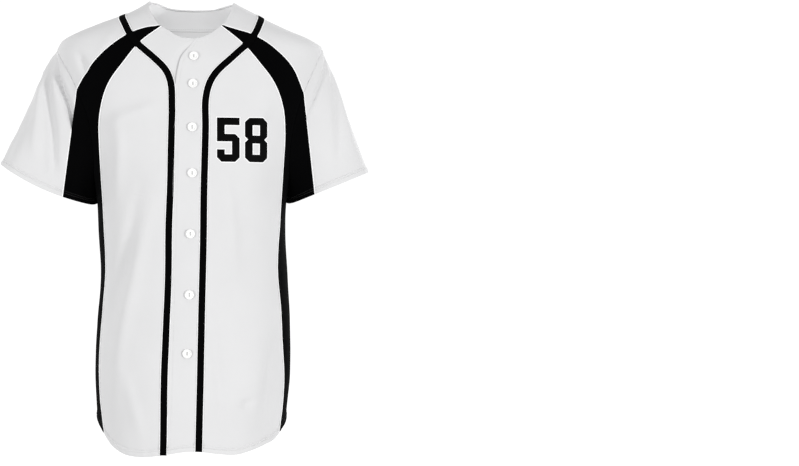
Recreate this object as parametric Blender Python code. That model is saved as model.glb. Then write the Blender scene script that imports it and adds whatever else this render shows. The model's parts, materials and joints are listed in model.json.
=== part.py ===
"""A short-sleeved baseball jersey, hollow and filled out as it hangs from the shoulders.

Every cloth panel is a grid of points on one skin. The skin is found first, then each panel is
drawn back a little from its seams and given its wall. Sizes in the tables are millimetres:
x to the wearer's left, y to the back, z up from the shoulder line.
"""

import math

import bmesh
import bpy
import numpy as np
from mathutils import Vector
from mathutils.bvhtree import BVHTree

MM = 0.001
CLOTH = 1.2  # wall of every panel
SEAM_GAP = 0.3  # between neighbouring panels
LAP_DEPTH = 1.7  # how far the lower front lies under the upper one
ROUNDNESS = 2.3  # power of the oval that the body's rings follow
SMOOTH_ANGLE = math.radians(50)
SAME_POINT = 0.02  # seam points nearer than this are one
RAY_START, RAY_REACH = 30, 0.06  # how far over the skin a ray starts, and its reach in metres
LEAST_LAY = 0.45  # keeps a wall from growing too long where it is laid aslant
LINE_POINTS = 400  # points on a drawn line before it is shared out

# Rings of the body: level, half width on the wearer's right and left, depth to front and back.
BODY_RINGS = np.array([
    (40, 58, 54, 45, 62),
    (32, 73, 68, 50, 70),
    (8, 116.5, 111.5, 66, 92),
    (-10, 166.5, 146, 78, 101),
    (-24, 201, 176.5, 87, 107),
    (-36, 224, 205.5, 93, 111),
    (-50, 235, 227, 99, 115),
    (-75, 236, 231, 108, 122),
    (-100, 231, 228, 114, 127),
    (-130, 223, 220, 120, 132),
    (-180, 206, 203, 127, 137),
    (-240, 186, 184, 132, 139),
    (-300, 169, 168, 134, 138),
    (-370, 164, 164, 132, 132),
    (-440, 160, 167, 128, 127),
    (-530, 166, 172, 130, 129),
    (-620, 170, 172, 134, 134),
    (-700, 165.5, 164.5, 138, 139),
    (-770, 161.5, 163, 140, 141),
], float)
LEVEL, HALF_RIGHT, HALF_LEFT, DEPTH_FRONT, DEPTH_BACK = range(5)

# Long soft folds: side of the body, x and z of both ends, half width, height (minus is a trough).
BODY_FOLDS = [
    ("front", -92, -240, -128, -560, 22, -5.0),
    ("front", -62, -300, -80, -600, 26, 3.5),
    ("front", 104, -560, 126, -720, 20, -4.0),
    ("front", 66, -330, 78, -640, 24, 2.5),
    ("back", 112, -330, 152, -640, 12, 5.5),
    ("back", 130, -170, 160, -330, 10, 4.0),
    ("back", 134, -240, 160, -440, 14, -4.5),
    ("back", -118, -150, -146, -420, 18, -4.5),
    ("back", -96, -420, -120, -660, 22, 4.0),
]

# Armholes: levels of the top and the bottom, and how far each swings to the front and the back.
ARMHOLES = {
    "right": {"top": -55, "bottom": -290, "front_swing": 32, "back_swing": 27},
    "left": {"top": -47, "bottom": -290, "front_swing": 32, "back_swing": 27},
}
TURN_AT_YOKE_CORNER = {"right": 68, "left": 74}  # degrees down the armhole from its top
TURN_AT_GUSSET_TIP = 117
TURN_AT_SIDE_SEAM = 145

NECK_BACK = {"right": 32, "left": 28.4}  # level of the neck edge at each shoulder
# How far the back neck edge lies over a straight line between the shoulders, against the angle.
NECK_BACK_RISE = [
    (0, 0), (30, 1.8), (48, 0.5), (60, -0.9), (90, -1.5), (120, 0), (137, 2.6), (153, 3.4), (180, 0),
]
# Neck edge in front, from the wearer's right shoulder: x, z.
NECK_FRONT = [
    (-73, 32), (-74.2, 15.3), (-68.5, 0.3), (-54.5, -21.5), (-39, -32), (-22, -42.3),
    (4, -46), (21.3, -42.5), (38.6, -31.9), (51.7, -21.1), (63.3, -1.7), (68.6, 14), (68, 28.4),
]
NECK_FRONT_AT = {"right": 3, "left": 9}  # rows where the black insets start
NECK_FRONT_LOW = 6  # row of the lowest point
INSET_TIP = 2.6  # width of an inset at the neck

# Upper edge of each black inset between the neck and the armhole: x, z.
INSET_UPPER = {
    "right": [(-78.3, -24.3), (-101.1, -32.1), (-133.2, -51.6), (-170, -86.3)],
    "left": [(70.5, -26.4), (101.2, -36), (136.1, -58), (171, -92)],
}
# Lower and inner edge of each black inset, from the neck to the hem: x, z.
INSET_INNER = {
    "right": [(-87, -51), (-114, -84), (-141.8, -123.6), (-156, -174.6), (-157, -220), (-154.6, -275),
              (-150, -373), (-147.5, -440), (-152.2, -499), (-158.5, -590), (-156.6, -665), (-150, -716)],
    "left": [(86, -54.5), (115.1, -89), (140, -124), (154, -164), (157.3, -205), (156.1, -247),
             (150.5, -352), (145.8, -435), (152.3, -515), (158.8, -605), (155.5, -665), (149, -716)],
}
SIDE_BACK_ANGLE = (15.5, 18)  # the side panel's rear edge, at the armhole and at the hem

# Edge of the upper front, from the neck to the hem: x, z.
LAP_EDGE = [(6.8, -46), (-2.4, -57.9), (-17.5, -77.2), (-24.5, -104), (-25.9, -130), (-26.2, -200),
            (-30, -348), (-33, -495), (-39.5, -737)]
UNDERLAP_X = (26, -2)  # edge of the lower front, at the neck and at the hem
LAP_SLOPE = 9  # width over which the lower front dips
LAP_TUCK = 0.6  # the lower front is at its full depth this far before the upper one's edge

# Hem level round the body, against the angle from the wearer's left side, by way of the back.
HEM = [
    (0, -697), (26, -703), (40, -717), (52, -730), (64, -740), (78, -746), (90, -748),
    (102, -746), (116, -740), (128, -728), (140, -714), (155, -700), (180, -697),
    (205, -716), (217, -735.5), (228, -746), (239, -748.8), (248, -747.3), (259, -742.3),
    (270, -737.5), (282, -741.5), (292, -744), (304, -738.5), (316, -731), (326, -725),
    (335, -714), (360, -697),
]

# Cuffs: the outer and inner corners, depth to front and back, and how far each half bows down.
CUFFS = {
    "right": {"outer": (-336, -254), "inner": (-170, -327), "front": 42, "back": 42, "bow": 10},
    "left": {"outer": (309.5, -268.5), "inner": (169, -325.5), "front": 42, "back": 42, "bow": 0},
}
CUFF_TURN_FRONT, CUFF_TURN_BACK = 68, 76  # degrees from the inner corner to the gusset's edges
SHOULDER_PUFF = {"right": 0.11, "left": 0.06}  # how much the head of a sleeve leans outwards
# Sleeve folds: share of the way round from front to back, half width, height.
SLEEVE_FOLDS = {
    "right": [(0.22, 0.07, -4.0), (0.38, 0.05, 1.4), (0.72, 0.06, -4.0), (0.86, 0.05, 3.0)],
    "left": [(0.26, 0.08, -2.5), (0.68, 0.06, -4.0), (0.82, 0.05, 3.0)],
}

# Middle line of the tape that runs up one front, round the neck and down the other: x, z.
# It crosses each shoulder at the level that TAPE_RIDGE gives.
TAPE_RIGHT = [(-47.5, -744), (-41.2, -495), (-38, -348), (-34.8, -238), (-33.6, -152), (-35, -124),
              (-42, -104), (-64.7, -79.4), (-91.4, -55.9), (-106, -36), (-115, -16), (-120, 1)]
TAPE_LEFT = [(119.5, 0), (115.5, -17), (106, -38), (90, -58.6), (64.1, -82.6), (44, -101), (31, -119),
             (24, -142), (22.6, -200), (19, -373), (15.8, -520), (11.1, -737.5)]
TAPE_RIDGE = {"right": 7.0, "left": 5.0}
TAPE_BACK = [(112, 7), (100, 9), (84, 9.2), (53, 4.6), (0, 2), (-53, 3.4), (-84, 8.8), (-101, 9.8), (-112, 8.8)]
TAPE_WIDTH, TAPE_WALL, TAPE_SEAT = 12.0, 0.8, 0.5

# Buttons: x, z.
BUTTONS = [
    (3, -77.4), (1.5, -124.6), (0.3, -198.2), (0.3, -274.7), (-2.8, -375.8), (-4.5, -477.6), (-8.2, -575.4),
]
BUTTON_RADIUS, BUTTON_HEIGHT, BUTTON_RIM = 7.8, 2.6, 1.5
BUTTON_DISH, BUTTON_HOLE, HOLE_SPREAD = 0.7, 1.0, 1.9
BUTTON_SIDES, HOLE_SIDES = 20, 8

FACING_DEPTH, FACING_WALL, FACING_SEAT, FACING_DROP = 34, 1.0, 0.65, 1.5
FACING_ANGLES = (6, 174)

# Points along each seam.
YOKE_ROWS, HOLE_FRONT_ROWS, HOLE_REAR_ROWS, SIDE_ROWS = 6, 8, 4, 15
GUSSET_ROWS, SLEEVE_TOP_ROWS = 3, 8
ARMHOLE_ROWS = HOLE_FRONT_ROWS + HOLE_REAR_ROWS - 1  # from the yoke's corner to the side seam
YOKE_COLUMNS, FRONT_COLUMNS, INSET_COLUMNS, BACK_COLUMNS = 6, 11, 6, 24
SLEEVE_COLUMNS, TAPE_STEPS, TAPE_FINE, FACING_COLUMNS = 9, 150, 4, 22

WHITE = ("jersey_cloth_white", (0.80, 0.80, 0.81), 0.85)
BLACK = ("jersey_cloth_black", (0.008, 0.008, 0.009), 0.8)
TAPE_BLACK = ("tape_black", (0.006, 0.006, 0.007), 0.75)
BUTTON_WHITE = ("button_white", (0.92, 0.92, 0.91), 0.3)


def smooth(t, knots, values):
    """A smooth curve through the knots, which rise or fall steadily."""
    knots, values = np.asarray(knots, float), np.asarray(values, float)
    if knots[0] > knots[-1]:
        knots, values = knots[::-1], values[::-1]
    slope = np.gradient(values, knots)
    i = np.clip(np.searchsorted(knots, t) - 1, 0, len(knots) - 2)
    h = knots[i + 1] - knots[i]
    u = (t - knots[i]) / h
    rise = values[i] + (values[i + 1] - values[i]) * u * u * (3 - 2 * u)
    return rise + h * u * (1 - u) * (slope[i] * (1 - u) - slope[i + 1] * u)


def through(points, count):
    """count points evenly along a smooth line through the given ones."""
    points = np.asarray(points, float)
    along = np.concatenate([[0], np.cumsum(np.linalg.norm(np.diff(points, axis=0), axis=1))])
    fine = np.linspace(0, along[-1], LINE_POINTS)
    line = np.stack([smooth(fine, along, column) for column in points.T], axis=1)
    length = np.concatenate([[0], np.cumsum(np.linalg.norm(np.diff(line, axis=0), axis=1))])
    at = np.linspace(0, length[-1], count)
    return np.stack([np.interp(at, length, column) for column in line.T], axis=1)


def ring_size(z, column):
    return smooth(z, BODY_RINGS[:, LEVEL], BODY_RINGS[:, column])


def angle_in_front(x, z):
    """Angle round the body of the point of the front at x, z."""
    x, z = np.asarray(x, float), np.asarray(z, float)
    half = np.where(x < 0, ring_size(z, HALF_RIGHT), ring_size(z, HALF_LEFT))
    share = np.clip(np.abs(x) / half, 0, 1) ** (ROUNDNESS / 2)
    turn = np.degrees(np.arccos(share))
    return np.where(x < 0, 180 + turn, 360 - turn)


def on_front(points):
    """x, z pairs as angle, level pairs."""
    points = np.asarray(points, float)
    return np.stack([angle_in_front(points[:, 0], points[:, 1]), points[:, 1]], axis=1)


def on_back(points):
    flipped = on_front(points)
    flipped[:, 0] = 360 - flipped[:, 0]
    return flipped


def body_plain(skin):
    """Points of the body without folds, for angle, level pairs."""
    turn, z = np.radians(skin[..., 0]), skin[..., 1]
    c, s = np.cos(turn), np.sin(turn)
    half = np.where(c < 0, ring_size(z, HALF_RIGHT), ring_size(z, HALF_LEFT))
    depth = np.where(s < 0, ring_size(z, DEPTH_FRONT), ring_size(z, DEPTH_BACK))
    power = 2 / ROUNDNESS
    x = half * np.sign(c) * np.abs(c) ** power
    y = depth * np.sign(s) * np.abs(s) ** power
    return np.stack([x, y, z], axis=-1)


def unit(v):
    return v / np.maximum(np.linalg.norm(v, axis=-1, keepdims=True), 1e-9)


def body_normal(skin):
    """Outward directions of the body, from steps round it and down it."""
    step = np.array([1.5, 0]), np.array([0, 2.0])
    across = body_plain(skin + step[0]) - body_plain(skin - step[0])
    up = body_plain(skin + step[1]) - body_plain(skin - step[1])
    return unit(np.cross(across, up))


def fold_height(points):
    """Height of the folds over the plain body."""
    total = np.zeros(points.shape[:-1])
    x, y, z = points[..., 0], points[..., 1], points[..., 2]
    for side, x0, z0, x1, z1, width, height in BODY_FOLDS:
        along = np.array([x1 - x0, z1 - z0], float)
        length = np.linalg.norm(along)
        along /= length
        t = ((x - x0) * along[0] + (z - z0) * along[1]) / length
        away = (x - x0) * along[1] - (z - z0) * along[0]
        fade = np.clip(t * 2.5 + 0.5, 0, 1) * np.clip((1 - t) * 2.5 + 0.5, 0, 1)
        here = (y < 0) == (side == "front")
        total += here * height * fade * fade * np.exp(-((away / width) ** 2))
    return total * np.clip(np.abs(y) / 40, 0, 1)


def body(skin):
    plain = body_plain(skin)
    return plain + body_normal(skin) * fold_height(plain)[..., None]


def coons(top, bottom, left, right):
    """A grid inside four edges. top and bottom run left to right, left and right run down."""
    u = np.linspace(0, 1, len(top))[None, :, None]
    v = np.linspace(0, 1, len(left))[:, None, None]
    across = (1 - v) * top[None] + v * bottom[None]
    down = (1 - u) * left[:, None] + u * right[:, None]
    corners = (1 - v) * ((1 - u) * top[0] + u * top[-1]) + v * ((1 - u) * bottom[0] + u * bottom[-1])
    return across + down - corners


def armhole(side, front, turn):
    """Angle, level pairs of an armhole, for degrees down from its top."""
    hole = ARMHOLES[side]
    turn = np.radians(turn)
    middle, half = (hole["top"] + hole["bottom"]) / 2, (hole["top"] - hole["bottom"]) / 2
    swing = -hole["front_swing"] if front else hole["back_swing"]
    angle = swing * np.sin(turn)
    angle = 360 + angle if side == "left" else 180 - angle
    return np.stack([angle, middle + half * np.cos(turn)], axis=1)


def whole_turn(skin, side):
    """The same pairs with the wearer's left kept past 360 degrees, so that panels cross the side."""
    skin = skin.copy()
    if side == "left":
        skin[:, 0] = np.where(skin[:, 0] < 90, skin[:, 0] + 360, skin[:, 0])
    return skin


def hem_level(angle):
    return smooth(np.mod(angle, 360), [a for a, _ in HEM], [z for _, z in HEM])


def along_hem(start, end, count):
    angle = np.linspace(start, end, count)
    return np.stack([angle, hem_level(angle)], axis=1)


def side_seam(side):
    """Rear edge of a side panel, from the armhole to the hem."""
    start = armhole(side, False, np.array([TURN_AT_SIDE_SEAM]))[0]
    angle = np.linspace(SIDE_BACK_ANGLE[0], SIDE_BACK_ANGLE[1], SIDE_ROWS)
    angle = 360 + angle if side == "left" else 180 - angle
    angle += (start[0] - angle[0]) * np.linspace(1, 0, SIDE_ROWS) ** 3
    level = np.linspace(start[1], hem_level(angle[-1]), SIDE_ROWS)
    return np.stack([angle, level], axis=1)


def neck_front(first, last, count, shift=0.0):
    """The neck edge in front between two rows of its table, from the first moved on by shift."""
    fine = through(NECK_FRONT, LINE_POINTS)
    ends = [np.abs(fine - NECK_FRONT[row]).sum(axis=1).argmin() for row in (first, last)]
    part = fine[ends[0]:ends[1] + 1] if ends[0] < ends[1] else fine[ends[1]:ends[0] + 1][::-1]
    length = np.concatenate([[0], np.cumsum(np.linalg.norm(np.diff(part, axis=0), axis=1))])
    at = np.linspace(shift, length[-1], count)
    return np.stack([np.interp(at, length, column) for column in part.T], axis=1)


def inset_lines(side):
    """The two long edges of a black inset, row by row from the neck to the hem, as angle, level."""
    tip = np.array(NECK_FRONT[NECK_FRONT_AT[side]], float)
    toward = neck_front(NECK_FRONT_AT[side], NECK_FRONT_LOW, LINE_POINTS)
    reach = np.linalg.norm(toward - tip, axis=1)
    inner_tip = toward[np.searchsorted(reach, INSET_TIP)]
    corner_turn = TURN_AT_YOKE_CORNER[side]
    front_hole = armhole(side, True, np.linspace(corner_turn, 180, HOLE_FRONT_ROWS))
    rear_hole = armhole(side, False, np.linspace(180, TURN_AT_SIDE_SEAM, HOLE_REAR_ROWS))[1:]
    corner = front_hole[0]
    corner_x = body_plain(corner[None])[0, 0]
    upper = through([tuple(tip), *INSET_UPPER[side], (corner_x, corner[1])], YOKE_ROWS)
    upper_skin = on_front(upper)
    upper_skin[-1] = corner
    outer = np.concatenate([upper_skin, front_hole[1:], rear_hole, side_seam(side)[1:]])
    inner_line = through([tuple(inner_tip), *INSET_INNER[side]], LINE_POINTS)
    rows = len(outer)
    level = outer[:, 1].copy()
    level[0] = inner_tip[1]
    hem_z = inner_line[-1, 1]
    falling = np.minimum.accumulate(level)
    bottom = YOKE_ROWS + HOLE_FRONT_ROWS - 2  # the row at the foot of the armhole
    level[1:bottom] = falling[1:bottom]
    level[bottom:] = np.linspace(falling[bottom - 1], hem_z, rows - bottom + 1)[1:]
    x = np.interp(-level, -inner_line[:, 1], inner_line[:, 0])
    x[0] = inner_tip[0]
    inner = on_front(np.stack([x, level], axis=1))
    inner[-1, 1] = hem_level(inner[-1, 0])
    return inner, whole_turn(outer, side)


def guide(line, top, levels_like):
    """A line down the front as angle, level pairs, its rows spaced as those of another."""
    share = (levels_like[:, 1] - levels_like[0, 1]) / (levels_like[-1, 1] - levels_like[0, 1])
    line = through([tuple(top), *line], LINE_POINTS)
    angle_end = angle_in_front(line[-1, 0], line[-1, 1])
    level = top[1] + (hem_level(angle_end) - top[1]) * share
    x = np.interp(-level, -line[:, 1], line[:, 0])
    return on_front(np.stack([x, level], axis=1))


def neck_point(x):
    """The point of the front neck edge at x, between the insets."""
    fine = through(NECK_FRONT[3:10], LINE_POINTS)
    return np.array([x, np.interp(x, fine[:, 0], fine[:, 1])])


def neck_between(start, end, count):
    x = np.linspace(start[0], end[0], count)
    edge = on_front(np.array([neck_point(value) for value in x]))
    return edge


def front_pieces(skins, lines):
    """The two main fronts, the upper one lapping over the lower one."""
    inner = lines["right"][0]
    tip = body_plain(inner[:1])[0, [0, 2]]
    lap_x = LAP_EDGE[0][0]
    dip_line = [(x - LAP_SLOPE, z) for x, z in LAP_EDGE[1:]]
    dip = guide(dip_line, neck_point(lap_x - LAP_SLOPE), inner)
    lap = guide([(x - LAP_TUCK, z) for x, z in LAP_EDGE[1:]], neck_point(lap_x - LAP_TUCK), inner)
    under = guide([(UNDERLAP_X[0], -150), (UNDERLAP_X[1], -738)], neck_point(UNDERLAP_X[0]), inner)
    top = neck_between(tip, neck_point(lap_x - LAP_SLOPE), FRONT_COLUMNS)
    top[0], top[-1] = inner[0], dip[0]
    hem = along_hem(inner[-1, 0], dip[-1, 0], FRONT_COLUMNS)
    main = coons(top, hem, inner, dip)
    middle = (lap + under) / 2
    middle[0] = on_front(neck_point((lap_x + UNDERLAP_X[0]) / 2)[None])[0]
    middle[-1, 1] = hem_level(middle[-1, 0])
    grid = np.concatenate([main, lap[:, None], middle[:, None], under[:, None]], axis=1)
    sunk = np.zeros(grid.shape[1])
    sunk[FRONT_COLUMNS:] = LAP_DEPTH
    skins["front_right"] = (grid, -sunk[None, :, None])

    inner = lines["left"][0]
    tip = body_plain(inner[:1])[0, [0, 2]]
    lap = guide(LAP_EDGE[1:], neck_point(lap_x), inner)
    top = neck_between(neck_point(lap_x), tip, FRONT_COLUMNS + 2)
    top[0], top[-1] = lap[0], inner[0]
    hem = along_hem(lap[-1, 0], inner[-1, 0], FRONT_COLUMNS + 2)
    skins["front_left"] = (coons(top, hem, lap, inner), 0)


def yoke_pieces(skins, lines):
    """The white pieces between neck, shoulder and black inset."""
    for side in ("right", "left"):
        upper = lines[side][1][:YOKE_ROWS]
        base = 180 if side == "right" else 360
        levels = np.linspace(NECK_BACK[side], ARMHOLES[side]["top"], YOKE_ROWS)
        ridge = np.stack([np.full(YOKE_ROWS, float(base)), levels], axis=1)
        shoulder_row = 0 if side == "right" else len(NECK_FRONT) - 1
        neck = on_front(neck_front(shoulder_row, NECK_FRONT_AT[side], YOKE_COLUMNS))
        neck[0], neck[-1] = ridge[0], upper[0]
        hole = armhole(side, True, np.linspace(0, TURN_AT_YOKE_CORNER[side], YOKE_COLUMNS))
        hole[-1] = upper[-1]
        skins["yoke_" + side] = (coons(neck, hole, ridge, upper), 0)
        lines[side + "_ridge"] = ridge


def inset_pieces(skins, lines):
    for side in ("right", "left"):
        inner, outer = lines[side]
        top = np.linspace(inner[0], outer[0], INSET_COLUMNS)
        hem = along_hem(inner[-1, 0], outer[-1, 0], INSET_COLUMNS)
        hem[0], hem[-1] = inner[-1], outer[-1]
        skins["inset_" + side] = (coons(top, hem, inner, outer), 0)


def neck_back(angle):
    """Level of the back neck edge at angles from the wearer's left shoulder to the right one."""
    straight = NECK_BACK["left"] + (NECK_BACK["right"] - NECK_BACK["left"]) * angle / 180
    return straight + smooth(angle, [a for a, _ in NECK_BACK_RISE], [rise for _, rise in NECK_BACK_RISE])


def back_edge(side, lines):
    """A side of the back: the shoulder, the armhole and the side seam, top to bottom."""
    ridge = lines[side + "_ridge"].copy()
    ridge[:, 0] = 180 if side == "right" else 0
    upper = armhole(side, False, np.linspace(0, TURN_AT_GUSSET_TIP, SLEEVE_TOP_ROWS))
    lower = armhole(side, False, np.linspace(TURN_AT_GUSSET_TIP, TURN_AT_SIDE_SEAM, GUSSET_ROWS))
    edge = np.concatenate([ridge, upper[1:], lower[1:], side_seam(side)[1:]])
    if side == "left":
        edge[:, 0] = np.where(edge[:, 0] > 270, edge[:, 0] - 360, edge[:, 0])
    return edge


def back_piece(skins, lines):
    left, right = back_edge("left", lines), back_edge("right", lines)
    angle = np.linspace(0, 180, BACK_COLUMNS)
    neck = np.stack([angle, neck_back(angle)], axis=1)
    hem = along_hem(left[-1, 0], right[-1, 0], BACK_COLUMNS)
    hem[0], hem[-1] = left[-1], right[-1]
    skins["back"] = (coons(neck, hem, left, right), 0)


def cuff(side, turn):
    """Points of a cuff's edge, for degrees from its inner corner by way of the front."""
    size = CUFFS[side]
    outer, inner = np.array(size["outer"], float), np.array(size["inner"], float)
    middle, arm = (outer + inner) / 2, (inner - outer) / 2
    down = np.array([-arm[1], arm[0]]) / np.linalg.norm(arm)
    down = down if down[1] < 0 else -down
    c, s = np.cos(np.radians(turn)), np.sin(np.radians(turn))
    flat = middle + arm * c[:, None] + down * (size["bow"] * s * s)[:, None]
    depth = np.where(s > 0, size["front"], size["back"])
    return np.stack([flat[:, 0], -depth * s, flat[:, 1]], axis=1)


def turn_between(pairs, count):
    """Turns round a cuff through the given ones, with so many points in each stretch."""
    parts = [np.linspace(a, b, n)[1:] for (a, b), n in zip(zip(pairs, pairs[1:]), count)]
    return np.concatenate([[pairs[0]], *parts])


def sleeve_grid(side, hole, turns, puff, folds):
    """Points from the armhole to the cuff. Rows run along the sleeve."""
    end = cuff(side, turns)
    out = np.array([-1.0 if side == "right" else 1.0, 0, 0])
    chord = end - hole
    size = np.linalg.norm(chord, axis=1, keepdims=True)
    start_way = unit(chord / size + out * puff[:, None]) * size
    end_way = unit(chord / size - out * 0.25 * puff[:, None]) * size
    s = np.linspace(0, 1, SLEEVE_COLUMNS)[:, None, None]
    grid = (2 * s**3 - 3 * s**2 + 1) * hole + (s**3 - 2 * s**2 + s) * start_way
    grid = grid + (3 * s**2 - 2 * s**3) * end + (s**3 - s**2) * end_way
    if folds:
        share = np.linspace(0, 1, len(hole))[None, :]
        along = np.linspace(0, 1, SLEEVE_COLUMNS)[:, None]
        height = sum(h * np.exp(-((share - at) / width) ** 2) for at, width, h in folds)
        height = height * np.sin(np.pi * np.clip(along * 0.93, 0, 1)) ** 0.7
        grid = grid + grid_normals(grid, side) * height[..., None]
    return grid


def sleeve_pieces(points, lines):
    """White sleeves, and the black gussets that close them under the arm."""
    for side in ("right", "left"):
        corner_turn = TURN_AT_YOKE_CORNER[side]
        front_top = armhole(side, True, np.linspace(corner_turn, 0, YOKE_COLUMNS))
        front_top[0] = lines[side][1][YOKE_ROWS - 1]
        back_top = armhole(side, False, np.linspace(0, TURN_AT_GUSSET_TIP, SLEEVE_TOP_ROWS))
        hole = body(np.concatenate([front_top, back_top[1:]]))
        turns = turn_between([CUFF_TURN_FRONT, 180, 360 - CUFF_TURN_BACK], [YOKE_COLUMNS, SLEEVE_TOP_ROWS])
        share = np.concatenate([np.linspace(-1, 0, YOKE_COLUMNS), np.linspace(0, 1, SLEEVE_TOP_ROWS)[1:]])
        puff = SHOULDER_PUFF[side] * np.cos(share * np.pi / 2) ** 2
        points["sleeve_" + side] = sleeve_grid(side, hole, turns, puff, SLEEVE_FOLDS[side])

        rear = armhole(side, False, np.linspace(TURN_AT_GUSSET_TIP, TURN_AT_SIDE_SEAM, GUSSET_ROWS))
        lower = lines[side][1][YOKE_ROWS - 1:YOKE_ROWS + ARMHOLE_ROWS - 1][::-1]
        hole = body(np.concatenate([rear, lower[1:]]))
        rear_turns = HOLE_REAR_ROWS + GUSSET_ROWS - 1
        turns = turn_between([360 - CUFF_TURN_BACK, 360, 360 + CUFF_TURN_FRONT],
                             [rear_turns, len(hole) - rear_turns + 1])
        points["gusset_" + side] = sleeve_grid(side, hole, turns, np.zeros(len(hole)), None)


def grid_normals(grid, side=None):
    """Outward directions of a grid. A sleeve's are told by its middle line."""
    down = np.gradient(grid, axis=0)
    across = np.gradient(grid, axis=1)
    normal = unit(np.cross(across, down))
    if side is None:
        centre = grid.mean(axis=(0, 1)) * np.array([0, 0, 1])
        outward = ((grid - centre) * normal)[..., :2].sum(axis=-1)
    else:
        size = CUFFS[side]
        cuff_middle = (np.array(size["outer"]) + np.array(size["inner"])) / 2
        hole_middle = np.array([-185.0 if side == "right" else 182.0, -165.0])
        line = cuff_middle - hole_middle
        t = ((grid[..., 0] - hole_middle[0]) * line[0] + (grid[..., 2] - hole_middle[1]) * line[1])
        t = np.clip(t / (line @ line), 0, 1)[..., None]
        core = hole_middle + t * line
        core = np.stack([core[..., 0], np.zeros(core.shape[:-1]), core[..., 1]], axis=-1)
        outward = ((grid - core) * normal).sum(axis=-1)
    return normal if np.median(outward) > 0 else -normal


def key(point):
    """A name for a seam point, the same for every panel that meets there."""
    return tuple(np.round(point / SAME_POINT).astype(int))


def edges_of(grid):
    """The four edges of a grid, each as its index, and the index of the row just inside."""
    rows, columns = grid.shape[:2]
    last = rows - 1, columns - 1
    return [
        ((0, slice(None)), (1, slice(None))),
        ((last[0], slice(None)), (last[0] - 1, slice(None))),
        ((slice(None), 0), (slice(None), 1)),
        ((slice(None), last[1]), (slice(None), last[1] - 1)),
    ]


def shared_normals(points, normals):
    """For each seam point, the mean direction of the panels that meet there."""
    total = {}
    for name, grid in points.items():
        seen = set()
        for edge, _ in edges_of(grid):
            for point, normal in zip(grid[edge], normals[name][edge]):
                if (key(point), name) not in seen:
                    seen.add((key(point), name))
                    total[key(point)] = total.get(key(point), 0) + normal
    return total


def draw_back(grid, normal, total):
    """The panel moved back from its seams, and the way in which its wall is laid at each point."""
    moved, lay = grid.copy(), normal.copy()
    for edge, inside in edges_of(grid):
        mean = unit(np.array([total[key(p)] for p in grid[edge]]))
        along = unit(np.gradient(grid[edge], axis=0))
        back = unit(np.cross(mean, along))
        inward = ((grid[inside] - grid[edge]) * back).sum(axis=-1, keepdims=True)
        back = np.where(inward < 0, -back, back)
        moved[edge] += back * SEAM_GAP / 2
        lean = np.maximum((lay[edge] * back).sum(axis=-1, keepdims=True), 0)
        laid = lay[edge] - lean * back
        lay[edge] = laid
    ratio = np.maximum((lay * normal).sum(axis=-1, keepdims=True), LEAST_LAY)
    return moved, lay / ratio


def material(slot):
    name, colour, rough = slot
    made = bpy.data.materials.get(name)
    if made:
        return made
    made = bpy.data.materials.new(name)
    made.use_nodes = True
    shader = made.node_tree.nodes["Principled BSDF"]
    shader.inputs["Base Color"].default_value = (*colour, 1)
    shader.inputs["Roughness"].default_value = rough
    made.diffuse_color = (*colour, 1)
    return made


def add_object(name, mesh, slot):
    if name in bpy.data.objects:
        raise ValueError(name)
    made = bpy.data.objects.new(name, mesh)
    made.data.materials.append(material(slot))
    bpy.context.scene.collection.objects.link(made)
    for face in mesh.polygons:
        face.use_smooth = True
    mesh.set_sharp_from_angle(angle=SMOOTH_ANGLE)
    return made


def face_outwards(shape):
    bmesh.ops.recalc_face_normals(shape, faces=shape.faces)
    if shape.calc_volume(signed=True) < 0:
        bmesh.ops.reverse_faces(shape, faces=shape.faces)


def walled(name, outer, inner, slot):
    """A closed sheet between an outer and an inner grid of the same size, in millimetres."""
    rows, columns = outer.shape[:2]
    count = rows * columns
    number = np.arange(count).reshape(rows, columns)
    quads = [number[:-1, :-1], number[:-1, 1:], number[1:, 1:], number[1:, :-1]]
    face = np.stack([q.ravel() for q in quads], axis=1)
    rim = np.concatenate([number[0], number[1:, -1], number[-1, :-1][::-1], number[1:-1, 0][::-1]])
    side = np.stack([rim, rim + count, np.roll(rim, -1) + count, np.roll(rim, -1)], axis=1)
    faces = np.concatenate([face, face[:, ::-1] + count, side])
    mesh = bpy.data.meshes.new(name)
    mesh.from_pydata((np.concatenate([outer, inner]).reshape(-1, 3) * MM).tolist(), [], faces.tolist())
    shape = bmesh.new()
    shape.from_mesh(mesh)
    face_outwards(shape)
    shape.to_mesh(mesh)
    shape.free()
    return add_object(name, mesh, slot)


def surface_tree(grids):
    """A search tree of the panels' outer faces, in metres."""
    corners, faces = [], []
    for grid in grids:
        rows, columns = grid.shape[:2]
        number = np.arange(rows * columns).reshape(rows, columns) + len(corners)
        quads = [number[:-1, :-1], number[:-1, 1:], number[1:, 1:], number[1:, :-1]]
        faces += np.stack([q.ravel() for q in quads], axis=1).tolist()
        corners += (grid.reshape(-1, 3) * MM).tolist()
    return BVHTree.FromPolygons(corners, faces)


def seated(tree, skin, height):
    """Points on the panels below these angle, level pairs, moved out by height, and the outward ways."""
    plain, way = body_plain(skin), body_normal(skin)
    placed = []
    for start, normal in zip(plain, way):
        origin = Vector((start + normal * RAY_START) * MM)
        hit = tree.ray_cast(origin, Vector(-normal), RAY_REACH)[0]
        placed.append(np.array(hit) / MM if hit else start)
    return np.array(placed) + way * height, way


def cloth_height(tree, target, way):
    """How far the panels lie outside each point, along its outward way."""
    height = np.zeros(len(target))
    for i, (start, normal) in enumerate(zip(target, way)):
        hit = tree.ray_cast(Vector((start + normal * RAY_START) * MM), Vector(-normal), RAY_REACH)[0]
        if hit:
            height[i] = (np.array(hit) / MM - start) @ normal
    return height


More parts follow.
